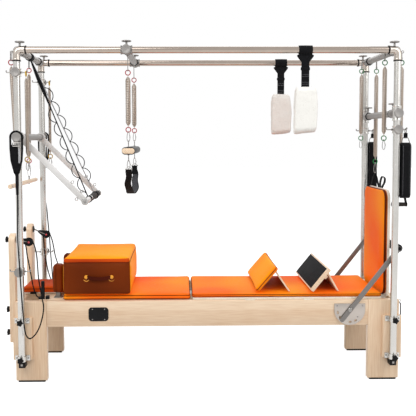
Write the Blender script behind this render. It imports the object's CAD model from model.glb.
"""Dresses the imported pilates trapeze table: steel tower, maple bed, springs, webbing, ropes and cushions.

Lengths are metres, +Z is up, +X runs towards the foot end and -Y faces the viewer. Some places are read
from the frame's own nodes. The other sizes are fields of the class that builds the piece, or constants
where several classes share them.
"""
import logging
import math
from collections.abc import Callable, Iterable, Sequence
from dataclasses import dataclass, field
from enum import Enum
from typing import Any

import bmesh
import bpy
from mathutils import Matrix, Vector, noise
from mathutils.bvhtree import BVHTree


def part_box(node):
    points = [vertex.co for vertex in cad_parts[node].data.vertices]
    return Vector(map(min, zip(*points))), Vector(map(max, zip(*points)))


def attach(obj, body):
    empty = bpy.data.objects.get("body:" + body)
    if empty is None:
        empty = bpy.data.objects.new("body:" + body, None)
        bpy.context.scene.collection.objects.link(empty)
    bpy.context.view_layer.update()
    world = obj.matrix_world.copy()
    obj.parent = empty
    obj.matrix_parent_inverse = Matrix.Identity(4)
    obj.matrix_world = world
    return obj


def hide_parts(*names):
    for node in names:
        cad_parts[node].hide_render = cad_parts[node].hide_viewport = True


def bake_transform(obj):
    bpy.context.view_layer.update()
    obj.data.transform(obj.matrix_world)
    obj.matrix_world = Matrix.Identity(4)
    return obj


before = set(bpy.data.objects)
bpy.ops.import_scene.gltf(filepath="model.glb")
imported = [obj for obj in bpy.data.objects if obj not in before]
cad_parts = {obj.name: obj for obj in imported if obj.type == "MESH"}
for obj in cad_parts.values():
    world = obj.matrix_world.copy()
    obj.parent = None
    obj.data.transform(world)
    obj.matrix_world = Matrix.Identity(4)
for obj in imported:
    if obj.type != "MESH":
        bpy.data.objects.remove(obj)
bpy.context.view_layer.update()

# The frame's box, the file that the boxes go to, the photograph's width, the distance within which points
# merge, and the seed that gives the noise the same values in every run.
PHOTO_PIXELS = 416
HAIR = 1e-6
NOISE_SEED = 7

# Sizes that several classes share, in metres: the gap between pieces that touch, the play of a sleeve on
# its tube, the uprights' axes, the top rails' height and the heights that eyes, hooks and cushions reach.
GAP = 0.0003
PLAY = 0.0004
TOWER_X = 1.15
TOWER_Y = 0.37
TOWER_Z = 2.052
TUBE = 0.021
EYE_Z = 1.994
HEAD_HOOK_Z = 1.918
FOOT_HOOK_Z = 1.571
BED_TOP = 0.51
BED_HALF = 0.322
MAT_TOP = 0.552

log = logging.getLogger("trapeze_table")

Pair = tuple[float, float]


class Axis(Enum):
    """The axis that a flat outline is extruded along; its points are pairs in the plane that faces it."""

    X = 0
    Y = 1
    Z = 2

    def point(self, a: float, b: float, c: float) -> Vector:
        """Place a plane point at distance c along the axis.

        Args:
            a: The first coordinate in the plane.
            b: The second coordinate in the plane, which is the height except across Z.
            c: The distance along the axis.

        Returns:
            The point in the frame.
        """
        if self is Axis.X:
            return xyz(c, a, b)
        if self is Axis.Y:
            return xyz(a, c, b)
        return xyz(a, b, c)


class Side(Enum):
    """The two long sides of the table."""

    FRONT = -1
    REAR = 1

    @property
    def label(self) -> str:
        """The side's name in node names."""
        return self.name.lower()


class End(Enum):
    """The two short ends of the table."""

    LEFT = -1
    RIGHT = 1

    @property
    def label(self) -> str:
        """The end's name in node names."""
        return self.name.lower()


def xyz(x: float, y: float, z: float) -> Vector:
    """Return the point, or the direction, with these coordinates."""
    return Vector((x, y, z))


def middle(node: str) -> Vector:
    """Return the centre of a frame node's box."""
    low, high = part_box(node)
    return (low + high) / 2


def toward(start: Vector, end: Vector, share: float) -> Vector:
    """Return the point that lies a share of the way from start to end."""
    return start + (end - start) * share


def arc(a: float, b: float, radius: float, start: float, stop: float, steps: int) -> list[Pair]:
    """Return plane points on an arc.

    Args:
        a: The centre's first coordinate.
        b: The centre's second coordinate.
        radius: The arc's radius.
        start: The first angle, in degrees.
        stop: The last angle, in degrees.
        steps: How many chords make the arc.

    Returns:
        The points from start to stop, both included.
    """
    angles = [math.radians(start + (stop - start) * i / steps) for i in range(steps + 1)]
    return [(a + radius * math.cos(angle), b + radius * math.sin(angle)) for angle in angles]


def rounded_rectangle(
    a0: float, a1: float, b0: float, b1: float, radius: float, steps: int = 6,
) -> list[Pair]:
    """Return the outline of a rectangle with round corners, anticlockwise from its right side.

    Args:
        a0: Its lowest first coordinate.
        a1: Its highest first coordinate.
        b0: Its lowest second coordinate.
        b1: Its highest second coordinate.
        radius: The radius of its corners.
        steps: How many chords make each corner.

    Returns:
        The points of the outline.
    """
    return [
        *arc(a1 - radius, b1 - radius, radius, 0, 90, steps),
        *arc(a0 + radius, b1 - radius, radius, 90, 180, steps),
        *arc(a0 + radius, b0 + radius, radius, 180, 270, steps),
        *arc(a1 - radius, b0 + radius, radius, 270, 360, steps),
    ]


def slot_outline(start: Pair, stop: Pair, width: float, steps: int = 10) -> list[Pair]:
    """Return the outline of a bar with half-round ends between two plane points.

    Args:
        start: The middle of one end.
        stop: The middle of the other end.
        width: The bar's width.
        steps: How many chords make each end.

    Returns:
        The points of the outline.
    """
    way = math.degrees(math.atan2(stop[1] - start[1], stop[0] - start[0]))
    return [
        *arc(*stop, width / 2, way - 90, way + 90, steps),
        *arc(*start, width / 2, way + 90, way + 270, steps),
    ]


def filleted(points: Sequence[Vector], radius: float, steps: int = 5) -> list[Vector]:
    """Round the inner corners of a line of points.

    Args:
        points: The line's corners.
        radius: The distance from each corner at which the bend starts.
        steps: How many chords make each bend.

    Returns:
        The line with each inner corner replaced by a smooth bend.
    """
    line = [points[0]]
    for before, corner, after in zip(points, points[1:], points[2:]):
        start = corner + (before - corner).normalized() * radius
        stop = corner + (after - corner).normalized() * radius
        for i in range(steps + 1):
            share = i / steps
            line.append(toward(toward(start, corner, share), toward(corner, stop, share), share))
    line.append(points[-1])
    return line


def through(points: Sequence[Vector], steps: int = 10) -> list[Vector]:
    """Return a centripetal curve through chosen places, as many short chords.

    Args:
        points: The places that the curve passes through.
        steps: How many chords lie between two places.

    Returns:
        The points of the curve.
    """
    line = [points[0]]
    before = points[0] * 2 - points[1]
    after = points[-1] * 2 - points[-2]
    padded = [before, *points, after]
    for p0, p1, p2, p3 in zip(padded, padded[1:], padded[2:], padded[3:]):
        t1 = math.sqrt((p1 - p0).length)
        t2 = t1 + math.sqrt((p2 - p1).length)
        t3 = t2 + math.sqrt((p3 - p2).length)
        for i in range(1, steps + 1):
            t = t1 + (t2 - t1) * i / steps
            a1 = p0 * ((t1 - t) / t1) + p1 * (t / t1)
            a2 = p1 * ((t2 - t) / (t2 - t1)) + p2 * ((t - t1) / (t2 - t1))
            a3 = p2 * ((t3 - t) / (t3 - t2)) + p3 * ((t - t2) / (t3 - t2))
            b1 = a1 * ((t2 - t) / t2) + a2 * (t / t2)
            b2 = a2 * ((t3 - t) / (t3 - t1)) + a3 * ((t - t1) / (t3 - t1))
            line.append(b1 * ((t2 - t) / (t2 - t1)) + b2 * ((t - t1) / (t2 - t1)))
    return line


class Form:
    """A shape in the making: one bmesh, and the moves that this table's pieces are made with."""

    def __init__(self) -> None:
        """Start with an empty mesh."""
        self.mesh = bmesh.new()

    @classmethod
    def box(cls, low: Sequence[float], high: Sequence[float], edge: float = 0.0, segments: int = 2) -> "Form":
        """Make a block between two corners.

        Args:
            low: One corner.
            high: The opposite corner, in any order along each axis.
            edge: The radius of its edges.
            segments: How many faces make each rounded edge.

        Returns:
            The block.
        """
        form = cls()
        a, b = Vector(low), Vector(high)
        size = [abs(s) for s in b - a]
        bmesh.ops.create_cube(
            form.mesh, size=1, matrix=Matrix.Translation((a + b) / 2) @ Matrix.Diagonal((*size, 1)))
        return form.rounded(edge, segments) if edge else form

    @classmethod
    def turned(
        cls, profile: Sequence[Pair], start: Vector, way: Sequence[float], sides: int = 32,
        edge: float = 0.0, hollow: bool = False,
    ) -> "Form":
        """Spin a profile about an axis.

        Args:
            profile: Points of (radius, distance along the axis).
            start: Where the axis starts.
            way: The axis direction.
            sides: How many steps make the full turn.
            edge: The radius of the sharp rims.
            hollow: Whether the profile closes on itself, as a tube's wall does.

        Returns:
            The turned form.
        """
        form = cls()
        points = [form.mesh.verts.new((radius, 0, height)) for radius, height in profile]
        links = list(zip(points, points[1:]))
        if hollow:
            links.append((points[-1], points[0]))
        edges = [form.mesh.edges.new(link) for link in links]
        bmesh.ops.spin(
            form.mesh, geom=[*points, *edges], cent=(0, 0, 0), axis=(0, 0, 1), dvec=(0, 0, 0),
            angle=math.tau, steps=sides, use_merge=True, use_duplicate=False,
        )
        form.closed()
        if edge:
            form.rounded(edge)
        turn = xyz(0, 0, 1).rotation_difference(Vector(way)).to_matrix().to_4x4()
        return form.moved(Matrix.Translation(start) @ turn)

    @classmethod
    def rod(cls, start: Vector, end: Vector, radius: float, sides: int = 32, edge: float = 0.0) -> "Form":
        """Make a round bar between two points.

        Args:
            start: The middle of one end.
            end: The middle of the other end.
            radius: The bar's radius.
            sides: How many faces go round it.
            edge: The radius of its rims.

        Returns:
            The bar.
        """
        length = (end - start).length
        return cls.turned([
            (0, 0), (radius, 0), (radius, length), (0, length),
        ], start, end - start, sides, edge)

    @classmethod
    def pipe(
        cls, start: Vector, end: Vector, outer: float, inner: float, sides: int = 32, edge: float = 0.0,
    ) -> "Form":
        """Make a round tube with an open bore between two points.

        Args:
            start: The middle of one end.
            end: The middle of the other end.
            outer: The outer radius.
            inner: The radius of the bore.
            sides: How many faces go round it.
            edge: The radius of its rims.

        Returns:
            The tube.
        """
        length = (end - start).length
        profile = [(inner, 0), (outer, 0), (outer, length), (inner, length)]
        return cls.turned(profile, start, end - start, sides, edge, hollow=True)

    @classmethod
    def plate(
        cls, outline: Sequence[Pair], axis: Axis, low: float, high: float,
        holes: Sequence[Sequence[Pair]] = (), edge: float = 0.0, segments: int = 2,
    ) -> "Form":
        """Extrude a flat outline along an axis.

        Args:
            outline: The outline's points in the plane that faces the axis.
            axis: The axis to extrude along.
            low: Where the plate starts on the axis.
            high: Where it stops.
            holes: Outlines cut through it.
            edge: The radius of its sharp edges.
            segments: How many faces make each rounded edge.

        Returns:
            The plate.
        """
        form = cls()
        edges: list[bmesh.types.BMEdge] = []
        points: list[bmesh.types.BMVert] = []
        for loop in (*holes, outline):
            points = [form.mesh.verts.new(axis.point(a, b, low)) for a, b in loop]
            edges += [form.mesh.edges.new(link) for link in zip(points, points[1:] + points[:1])]
        if holes:
            bmesh.ops.triangle_fill(form.mesh, use_beauty=True, use_dissolve=False, edges=edges)
        else:
            form.mesh.faces.new(points)
        made = bmesh.ops.extrude_face_region(form.mesh, geom=form.mesh.faces[:])
        lifted = [part for part in made["geom"] if isinstance(part, bmesh.types.BMVert)]
        bmesh.ops.translate(form.mesh, verts=lifted, vec=axis.point(0, 0, high - low))
        form.closed()
        return form.rounded(edge, segments) if edge else form

    @classmethod
    def wire(cls, points: Sequence[Vector], radius: float, sides: int = 8, ring: bool = False) -> "Form":
        """Sweep a round section along a line of points.

        Args:
            points: The line.
            radius: The wire's radius.
            sides: How many faces go round it, an even number of four or more.
            ring: Whether the line closes on itself.

        Returns:
            The wire, with closed ends.
        """
        curve = bpy.data.curves.new("wire", "CURVE")
        curve.dimensions = "3D"
        curve.bevel_depth = radius
        curve.bevel_resolution = sides // 2 - 2
        curve.use_fill_caps = not ring
        spline = curve.splines.new("POLY")
        spline.points.add(len(points) - 1)
        for knot, place in zip(spline.points, points):
            knot.co = (*place, 1)
        spline.use_cyclic_u = ring
        holder = bpy.data.objects.new("wire", curve)
        form = cls()
        form.mesh.from_mesh(holder.to_mesh())
        holder.to_mesh_clear()
        bpy.data.objects.remove(holder)
        bpy.data.curves.remove(curve)
        return form.closed()

    @classmethod
    def ring(
        cls, centre: Vector, axis: Axis, radius: float, wire: float, stretch: float = 0.0,
        steps: int = 28, sides: int = 8,
    ) -> "Form":
        """Bend a round wire to a ring that faces an axis.

        Args:
            centre: The ring's centre.
            axis: The axis through its opening.
            radius: The radius to the middle of the wire.
            wire: The wire's radius.
            stretch: How far each half moves up or down to make a long link.
            steps: How many chords go round.
            sides: How many faces go round the wire.

        Returns:
            The ring.
        """
        points = []
        for a, b in arc(0, 0, radius, 0, 360, steps)[:-1]:
            points.append(centre + axis.point(a, b + math.copysign(stretch, b), 0))
        return cls.wire(points, wire, sides, ring=True)

    @classmethod
    def coil(
        cls, radius: float, wire: float, drop: float, pitch: float, taper: float, steps: int = 14,
    ) -> "Form":
        """Wind a spring down from the origin, drawn in at both ends.

        Args:
            radius: The radius to the middle of the wire.
            wire: The wire's radius.
            drop: The length of the wound part.
            pitch: The height of one turn.
            taper: The length over which each end is drawn in.
            steps: How many steps make one turn.

        Returns:
            The coil.
        """
        turns = round(drop / pitch)
        line = []
        for i in range(turns * steps + 1):
            angle = math.tau * i / steps
            level = drop * i / (turns * steps)
            inside = min(level, drop - level) / taper
            draw = radius * math.sin(math.pi / 2 * min(1.0, inside * 0.8 + 0.2))
            line.append(xyz(draw * math.cos(angle), draw * math.sin(angle), -level))
        return cls.wire(line, wire, 6)

    @classmethod
    def band(
        cls, line: Sequence[Pair], axis: Axis, low: float, high: float, thickness: float,
        closed: bool = False,
    ) -> "Form":
        """Make webbing that follows a line in a plane.

        Args:
            line: The middle of the web's thickness, in the plane that faces the axis.
            axis: The axis that the web's width lies along.
            low: One edge of the web on the axis.
            high: The other edge.
            thickness: The web's thickness.
            closed: Whether the line is a loop.

        Returns:
            The web.
        """
        form = cls()
        points = [form.mesh.verts.new(axis.point(a, b, low)) for a, b in line]
        links = list(zip(points, points[1:]))
        if closed:
            links.append((points[-1], points[0]))
        edges = [form.mesh.edges.new(link) for link in links]
        made = bmesh.ops.extrude_edge_only(form.mesh, edges=edges)
        lifted = [part for part in made["geom"] if isinstance(part, bmesh.types.BMVert)]
        bmesh.ops.translate(form.mesh, verts=lifted, vec=axis.point(0, 0, high - low))
        bmesh.ops.recalc_face_normals(form.mesh, faces=form.mesh.faces[:])
        form.mesh.normal_update()
        shifts = [(vert, vert.normal * (thickness / 2)) for vert in form.mesh.verts]
        for vert, shift in shifts:
            vert.co += shift
        bmesh.ops.solidify(form.mesh, geom=form.mesh.faces[:], thickness=thickness)
        return form.closed()

    @classmethod
    def strap(cls, start: Vector, end: Vector, width: float, thickness: float, width_way: Vector) -> "Form":
        """Make a straight flat strap between two points, its width along width_way.

        Args:
            start: The middle of one end.
            end: The middle of the other end.
            width: The strap's width.
            thickness: The strap's thickness.
            width_way: The direction of its width.

        Returns:
            The strap.
        """
        run = end - start
        z = run.normalized()
        y = z.cross(width_way).normalized()
        x = y.cross(z).normalized()
        turn = Matrix((x, y, z)).transposed().to_4x4()
        scale = Matrix.Diagonal((width, thickness, run.length, 1))
        form = cls()
        bmesh.ops.create_cube(form.mesh, size=1, matrix=Matrix.Translation((start + end) / 2) @ turn @ scale)
        return form.rounded(thickness / 5, 1)

    def closed(self) -> "Form":
        """Merge doubled points and turn every face outwards.

        Returns:
            This form.
        """
        bmesh.ops.remove_doubles(self.mesh, verts=self.mesh.verts[:], dist=HAIR)
        bmesh.ops.recalc_face_normals(self.mesh, faces=self.mesh.faces[:])
        return self

    def rounded(self, radius: float, segments: int = 2, limit: float = 30.0) -> "Form":
        """Round every edge sharper than a limit.

        Args:
            radius: The radius of the rounding.
            segments: How many faces make it.
            limit: The least angle between two faces that counts as sharp, in degrees.

        Returns:
            This form.
        """
        least = math.radians(limit)
        sharp = [edge for edge in self.mesh.edges if edge.is_manifold and edge.calc_face_angle(0.0) > least]
        bmesh.ops.bevel(
            self.mesh, geom=sharp, offset=radius, offset_type="OFFSET", segments=segments, profile=0.5,
            affect="EDGES", clamp_overlap=True, material=-1)
        return self

    def sliced(self, axis: Axis, places: Iterable[float]) -> "Form":
        """Cut the surface along planes across an axis, so that it can bend there.

        Args:
            axis: The axis that the planes face.
            places: Where they stand on it.

        Returns:
            This form.
        """
        for place in places:
            bmesh.ops.bisect_plane(
                self.mesh, geom=[*self.mesh.verts, *self.mesh.edges, *self.mesh.faces], dist=HAIR,
                plane_co=axis.point(0, 0, place), plane_no=axis.point(0, 0, 1),
            )
        return self

    def cut_across(self, start: Vector, stop: Vector, count: int) -> "Form":
        """Cut the surface across a straight run in equal steps, so that it can bend along it.

        Args:
            start: Where the run starts.
            stop: Where it stops.
            count: How many parts it is cut into.

        Returns:
            This form.
        """
        for i in range(1, count):
            bmesh.ops.bisect_plane(
                self.mesh, geom=[*self.mesh.verts, *self.mesh.edges, *self.mesh.faces], dist=HAIR,
                plane_co=toward(start, stop, i / count), plane_no=stop - start,
            )
        return self

    def moved(self, matrix: Matrix) -> "Form":
        """Apply a transform to every point."""
        bmesh.ops.transform(self.mesh, matrix=matrix, verts=self.mesh.verts[:])
        return self

    def shaped(self, move: Callable[[Vector], Vector]) -> "Form":
        """Move each point by a function of where it is.

        Args:
            move: Gives a point's new place.

        Returns:
            This form.
        """
        for vert in self.mesh.verts:
            vert.co = move(vert.co.copy())
        self.mesh.normal_update()
        return self

    def ordered(self) -> "Form":
        """Sort the faces by their points, as the operators leave them in another order in each run.

        Returns:
            This form.
        """
        self.mesh.verts.index_update()
        count = len(self.mesh.verts)

        def rank(face: bmesh.types.BMFace) -> float:
            """Return a number that stands for the face's three lowest points."""
            low, mid, high = sorted(vert.index for vert in face.verts)[:3]
            return float((low * count + mid) * count + high)

        self.mesh.faces.sort(key=rank)
        self.mesh.faces.index_update()
        return self

    def painted(self, index: int, where: Callable[[bmesh.types.BMFace], bool]) -> "Form":
        """Give the faces that pass a test another of the piece's materials.

        Args:
            index: The number of the other material.
            where: The test.

        Returns:
            This form.
        """
        for face in self.mesh.faces:
            if where(face):
                face.material_index = index
        return self

    def joined(self, *others: "Form") -> "Form":
        """Add other forms to this one and free them.

        Args:
            *others: The other forms.

        Returns:
            This form.
        """
        for other in others:
            held = bpy.data.meshes.new("joined")
            other.mesh.to_mesh(held)
            self.mesh.from_mesh(held)
            bpy.data.meshes.remove(held)
            other.mesh.free()
        return self


def several(forms: Iterable[Form]) -> Form:
    """Join forms to one."""
    first, *rest = forms
    return first.joined(*rest)


def linear(code: str) -> tuple[float, float, float, float]:
    """Turn a colour written as six hexadecimal digits into the linear values that a shader takes.

    Args:
        code: The colour.

    Returns:
        Red, green, blue and an alpha of one.
    """
    values = []
    for i in range(0, 6, 2):
        value = int(code[i:i + 2], 16) / 255
        values.append(value / 12.92 if value <= 0.04045 else ((value + 0.055) / 1.055) ** 2.4)
    return (*values, 1.0)


class Graph:
    """A material's node tree, wired up in reading order."""

    def __init__(self, name: str) -> None:
        """Start a material whose surface is one Principled shader.

        Args:
            name: The material's name.
        """
        self.material = bpy.data.materials.new(name)
        self.material.use_nodes = True
        self.tree = self.material.node_tree
        self.shader = self.tree.nodes["Principled BSDF"]

    def add(self, kind: str, options: dict[str, Any] | None = None, **inputs: Any) -> bpy.types.Node:
        """Add a node, set its options and fill or link its inputs.

        Args:
            kind: The node's type.
            options: Values for the node's own properties.
            **inputs: Values or output sockets for its inputs; an underscore stands for a space.

        Returns:
            The node.
        """
        node = self.tree.nodes.new(kind)
        for name, value in (options or {}).items():
            setattr(node, name, value)
        for name, value in inputs.items():
            self.feed(node.inputs[name.replace("_", " ")], value)
        return node

    def feed(self, socket: bpy.types.NodeSocket, value: Any) -> None:
        """Link an output to a socket, or set its value.

        Args:
            socket: The input.
            value: The output or the value.
        """
        if isinstance(value, bpy.types.NodeSocket):
            self.tree.links.new(value, socket)
        else:
            socket.default_value = value

    def place(self, stretch: Sequence[float] = (1, 1, 1)) -> bpy.types.NodeSocket:
        """Return object coordinates, stretched along each axis."""
        source = self.add("ShaderNodeTexCoord").outputs["Object"]
        return self.add("ShaderNodeMapping", Vector=source, Scale=tuple(stretch)).outputs["Vector"]

    def noise(
        self, scale: float, detail: float = 3.0, stretch: Sequence[float] = (1, 1, 1),
    ) -> bpy.types.NodeSocket:
        """Return a noise pattern's strength over the piece.

        Args:
            scale: How fine the pattern is.
            detail: How many finer layers it has.
            stretch: How much finer it is along each axis.

        Returns:
            The strength, from nought to one.
        """
        return self.add(
            "ShaderNodeTexNoise", Vector=self.place(stretch), Scale=scale, Detail=detail,
        ).outputs["Fac"]

    def cells(self, scale: float, stretch: Sequence[float] = (1, 1, 1)) -> bpy.types.NodeSocket:
        """Return the distance to the nearest point of a cell pattern."""
        return self.add("ShaderNodeTexVoronoi", Vector=self.place(stretch), Scale=scale).outputs["Distance"]

    def maths(self, operation: str, a: Any, b: Any = 0.0) -> bpy.types.NodeSocket:
        """Combine two values.

        Args:
            operation: The operation's name.
            a: The first value or output.
            b: The second value or output.

        Returns:
            The result.
        """
        node = self.add("ShaderNodeMath", {"operation": operation})
        self.feed(node.inputs[0], a)
        self.feed(node.inputs[1], b)
        return node.outputs[0]

    def ramp(self, factor: bpy.types.NodeSocket, stops: Sequence[tuple[float, str]]) -> bpy.types.NodeSocket:
        """Turn a value into colours by stops of (place, colour).

        Args:
            factor: The value.
            stops: The stops, in rising order.

        Returns:
            The colour.
        """
        node = self.add("ShaderNodeValToRGB", Fac=factor)
        marks = node.color_ramp.elements
        while len(marks) < len(stops):
            marks.new(0.5)
        for mark, (place, colour) in zip(marks, stops):
            mark.position = place
            mark.color = linear(colour)
        return node.outputs["Color"]

    def span(self, value: bpy.types.NodeSocket, low: float, high: float) -> bpy.types.NodeSocket:
        """Turn a value from nought to one into one between two limits."""
        return self.add("ShaderNodeMapRange", Value=value, To_Min=low, To_Max=high).outputs["Result"]

    def bump(self, height: bpy.types.NodeSocket, depth: float) -> None:
        """Raise the surface by a pattern of a given depth in metres."""
        node = self.add("ShaderNodeBump", Height=height, Strength=1.0, Distance=depth)
        self.feed(self.shader.inputs["Normal"], node.outputs["Normal"])

    def finish(self, **inputs: Any) -> bpy.types.Material:
        """Set or link the shader's inputs and return the material.

        Args:
            **inputs: Values or output sockets; an underscore stands for a space.

        Returns:
            The material.
        """
        for name, value in inputs.items():
            self.feed(self.shader.inputs[name.replace("_", " ")], value)
        return self.material


@dataclass(frozen=True)
class Maple:
    """Oiled maple, edge-glued from staves, with its grain along one axis."""

    name: str = "maple"
    slot: str = "maple"
    pale: str = "F0D6B8"
    dark: str = "DDB995"
    along: Axis = Axis.X
    stave: float = 0.09
    depth: float = 0.00008
    coat: float = 0.25

    def material(self) -> bpy.types.Material:
        """Build the wood: fine long figure, soft cross figure and a tone for each stave.

        Returns:
            The material.
        """
        graph = Graph(self.name)
        fine = [26.0, 26.0, 26.0]
        fine[self.along.value] = 1.6
        broad = [5.0, 5.0, 5.0]
        broad[self.along.value] = 0.7
        streaks = graph.noise(5.0, 6.0, fine)
        clouds = graph.noise(2.0, 2.0, broad)
        across = [0.0, 0.0, 0.0]
        across[2 if self.along is not Axis.Z else 0] = 1 / self.stave
        cell = graph.add("ShaderNodeVectorMath", {"operation": "FLOOR"}).outputs[0]
        graph.feed(cell.node.inputs[0], graph.place(across))
        tone = graph.add("ShaderNodeTexWhiteNoise", Vector=cell).outputs["Value"]
        mixed = graph.maths(
            "ADD", graph.maths("MULTIPLY", streaks, 0.55), graph.maths("MULTIPLY", clouds, 0.3))
        mixed = graph.maths("ADD", mixed, graph.maths("MULTIPLY", tone, 0.15))
        colour = graph.ramp(mixed, [(0.3, self.dark), (0.62, self.pale)])
        graph.bump(streaks, self.depth)
        return graph.finish(
            Base_Color=colour, Roughness=graph.span(streaks, 0.34, 0.5), Coat_Weight=self.coat,
            Coat_Roughness=0.3)


@dataclass(frozen=True)
class Metal:
    """Bare metal with fine draw lines or a cast skin."""

    name: str
    slot: str
    colour: str
    roughness: float
    metallic: float = 1.0
    grain: float = 400.0
    stretch: tuple[float, float, float] = (1.0, 1.0, 1.0)
    depth: float = 0.00003
    tint: float = 0.18

    def material(self) -> bpy.types.Material:
        """Build the metal: a fine pattern moves its roughness, tone and surface a little.

        Returns:
            The material.
        """
        graph = Graph(self.name)
        lines = graph.noise(self.grain, 2.0, self.stretch)
        patches = graph.noise(9.0, 2.0)
        hue = graph.add("ShaderNodeMix", {"data_type": "RGBA", "blend_type": "MULTIPLY"})
        graph.feed(hue.inputs["Factor"], self.tint)
        graph.feed(hue.inputs["A"], linear(self.colour))
        graph.feed(hue.inputs["B"], graph.ramp(patches, [(0.35, "C8C4C0"), (0.65, "FFFFFF")]))
        graph.bump(lines, self.depth)
        rough = graph.span(lines, self.roughness * 0.85, self.roughness * 1.2)
        return graph.finish(Base_Color=hue.outputs["Result"], Roughness=rough, Metallic=self.metallic)


@dataclass(frozen=True)
class Vinyl:
    """Upholstery vinyl with a pressed leather grain."""

    name: str
    slot: str = "orange_vinyl"
    deep: str = "F96812"
    light: str = "FF9418"
    roughness: float = 0.55
    pebbles: float = 420.0
    depth: float = 0.00025
    gloss: float = 0.07

    def material(self) -> bpy.types.Material:
        """Build the vinyl: large soft colour patches over a fine pebbled grain.

        Returns:
            The material.
        """
        graph = Graph(self.name)
        patches = graph.noise(1.7, 1.0)
        pebble = graph.cells(self.pebbles)
        creases = graph.noise(60.0, 4.0)
        colour = graph.ramp(patches, [(0.38, self.deep), (0.62, self.light)])
        graph.bump(graph.maths("ADD", pebble, graph.maths("MULTIPLY", creases, 0.4)), self.depth)
        rough = graph.span(creases, self.roughness * 0.85, self.roughness * 1.25)
        return graph.finish(Base_Color=colour, Roughness=rough, Specular_IOR_Level=self.gloss)


@dataclass(frozen=True)
class Webbing:
    """Woven or braided black textile."""

    name: str
    slot: str = "black_web"
    colour: str = "08080A"
    lift: str = "1E1E21"
    ribs: float = 520.0
    roughness: float = 0.8
    depth: float = 0.0003

    def material(self) -> bpy.types.Material:
        """Build the weave: two crossed sets of ribs, with paler crowns.

        Returns:
            The material.
        """
        graph = Graph(self.name)
        place = graph.place()
        warp = graph.add(
            "ShaderNodeTexWave", {"wave_type": "BANDS", "bands_direction": "DIAGONAL"}, Vector=place,
            Scale=self.ribs).outputs["Fac"]
        weft = graph.add(
            "ShaderNodeTexWave", {"wave_type": "BANDS", "bands_direction": "Z"}, Vector=place,
            Scale=self.ribs).outputs["Fac"]
        weave = graph.maths("MULTIPLY", warp, weft)
        fuzz = graph.noise(90.0, 4.0)
        graph.bump(weave, self.depth)
        tone = graph.maths("ADD", graph.maths("MULTIPLY", weave, 0.5), graph.maths("MULTIPLY", fuzz, 0.5))
        colour = graph.ramp(tone, [(0.25, self.colour), (0.8, self.lift)])
        return graph.finish(
            Base_Color=colour, Roughness=self.roughness, Specular_IOR_Level=0.1, Sheen_Weight=0.03,
            Sheen_Roughness=0.5)


@dataclass(frozen=True)
class Moulded:
    """Moulded plastic, rubber, foam or paint: one colour with a fine skin."""

    name: str
    slot: str
    colour: str
    worn: str
    roughness: float
    grain: float = 700.0
    depth: float = 0.0001
    sheen: float = 0.0
    gloss: float = 0.5

    def material(self) -> bpy.types.Material:
        """Build the skin: a little colour drift, and a grain that moves the gloss.

        Returns:
            The material.
        """
        graph = Graph(self.name)
        skin = graph.noise(self.grain, 3.0)
        drift = graph.noise(14.0, 3.0)
        colour = graph.ramp(drift, [(0.35, self.colour), (0.75, self.worn)])
        graph.bump(skin, self.depth)
        rough = graph.span(skin, self.roughness * 0.85, min(1.0, self.roughness * 1.2))
        return graph.finish(
            Base_Color=colour, Roughness=rough, Sheen_Weight=self.sheen, Specular_IOR_Level=self.gloss)


@dataclass(frozen=True)
class Fleece:
    """Short curly pile of a fleece-lined cuff."""

    name: str = "fleece_pile"
    slot: str = "white_fleece"
    colour: str = "F1EFE9"
    shade: str = "DEDAD2"
    curls: float = 150.0
    depth: float = 0.0009

    def material(self) -> bpy.types.Material:
        """Build the pile: small curls with shaded roots and a soft sheen.

        Returns:
            The material.
        """
        graph = Graph(self.name)
        curls = graph.cells(self.curls)
        clumps = graph.noise(45.0, 5.0)
        height = graph.maths("ADD", graph.maths("MULTIPLY", curls, 0.7), clumps)
        graph.bump(height, self.depth)
        colour = graph.ramp(height, [(0.25, self.shade), (0.75, self.colour)])
        return graph.finish(Base_Color=colour, Roughness=0.95, Sheen_Weight=0.6, Sheen_Roughness=0.6)


Finish = Maple | Metal | Vinyl | Webbing | Moulded | Fleece

MAPLE_LONG = Maple()
MAPLE_TALL = Maple(name="maple_upright_grain", along=Axis.Z)
MAPLE_WIDE = Maple(name="maple_cross_grain", along=Axis.Y)
BIRCH = Maple(name="pale_plywood", pale="EFE6D8", dark="D9CDBA", along=Axis.Z)
SATIN = Metal("satin_steel", "satin_tube", "C6C4C0", 0.26, stretch=(1.0, 1.0, 0.02), depth=0.000008)
POLISHED = Metal("polished_steel", "polished_tube", "A99D93", 0.14, stretch=(0.02, 1.0, 1.0))
FITTING = Metal("polished_fitting", "satin_tube", "BDB4AB", 0.2)
CAST = Metal("cast_aluminium", "cast_grey", "8E8B88", 0.5, metallic=0.75, grain=260.0, depth=0.00025)
SPRING = Metal("spring_wire", "spring_steel", "B0A397", 0.3)
BRIGHT = Metal("bright_steel", "spring_steel", "8E8B88", 0.22)
TRACK = Metal("track_aluminium", "satin_tube", "D4D2CF", 0.35, stretch=(0.02, 1.0, 1.0))
ARM = Moulded("white_arm_coat", "white_arm", "E2E0DE", "D5D2CF", 0.4)
ARM_CAP = Metal("bar_end_cap", "white_arm", "B2B0AD", 0.4, metallic=0.7)
FOOT_TUBE = Metal("foot_bar_steel", "foot_bar_tube", "7C7875", 0.45, metallic=0.5, stretch=(1.0, 0.05, 1.0))
VINYL = Vinyl("orange_vinyl_skin")
VINYL_BRIGHT = Vinyl("amber_vinyl_skin", deep="FF9408", light="FFA410")
VINYL_DEEP = Vinyl("deep_orange_vinyl", deep="A8340A", light="D6500E")
VINYL_DARK = Vinyl("russet_vinyl_side", deep="5E2306", light="7C320A", roughness=0.5)
VINYL_SEAM = Vinyl("seam_shadow", deep="401206", light="561A0A", roughness=0.6)
WEB = Webbing("black_webbing")
LINING = Webbing("grey_lining", colour="3A3A3E", lift="626267")
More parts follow.
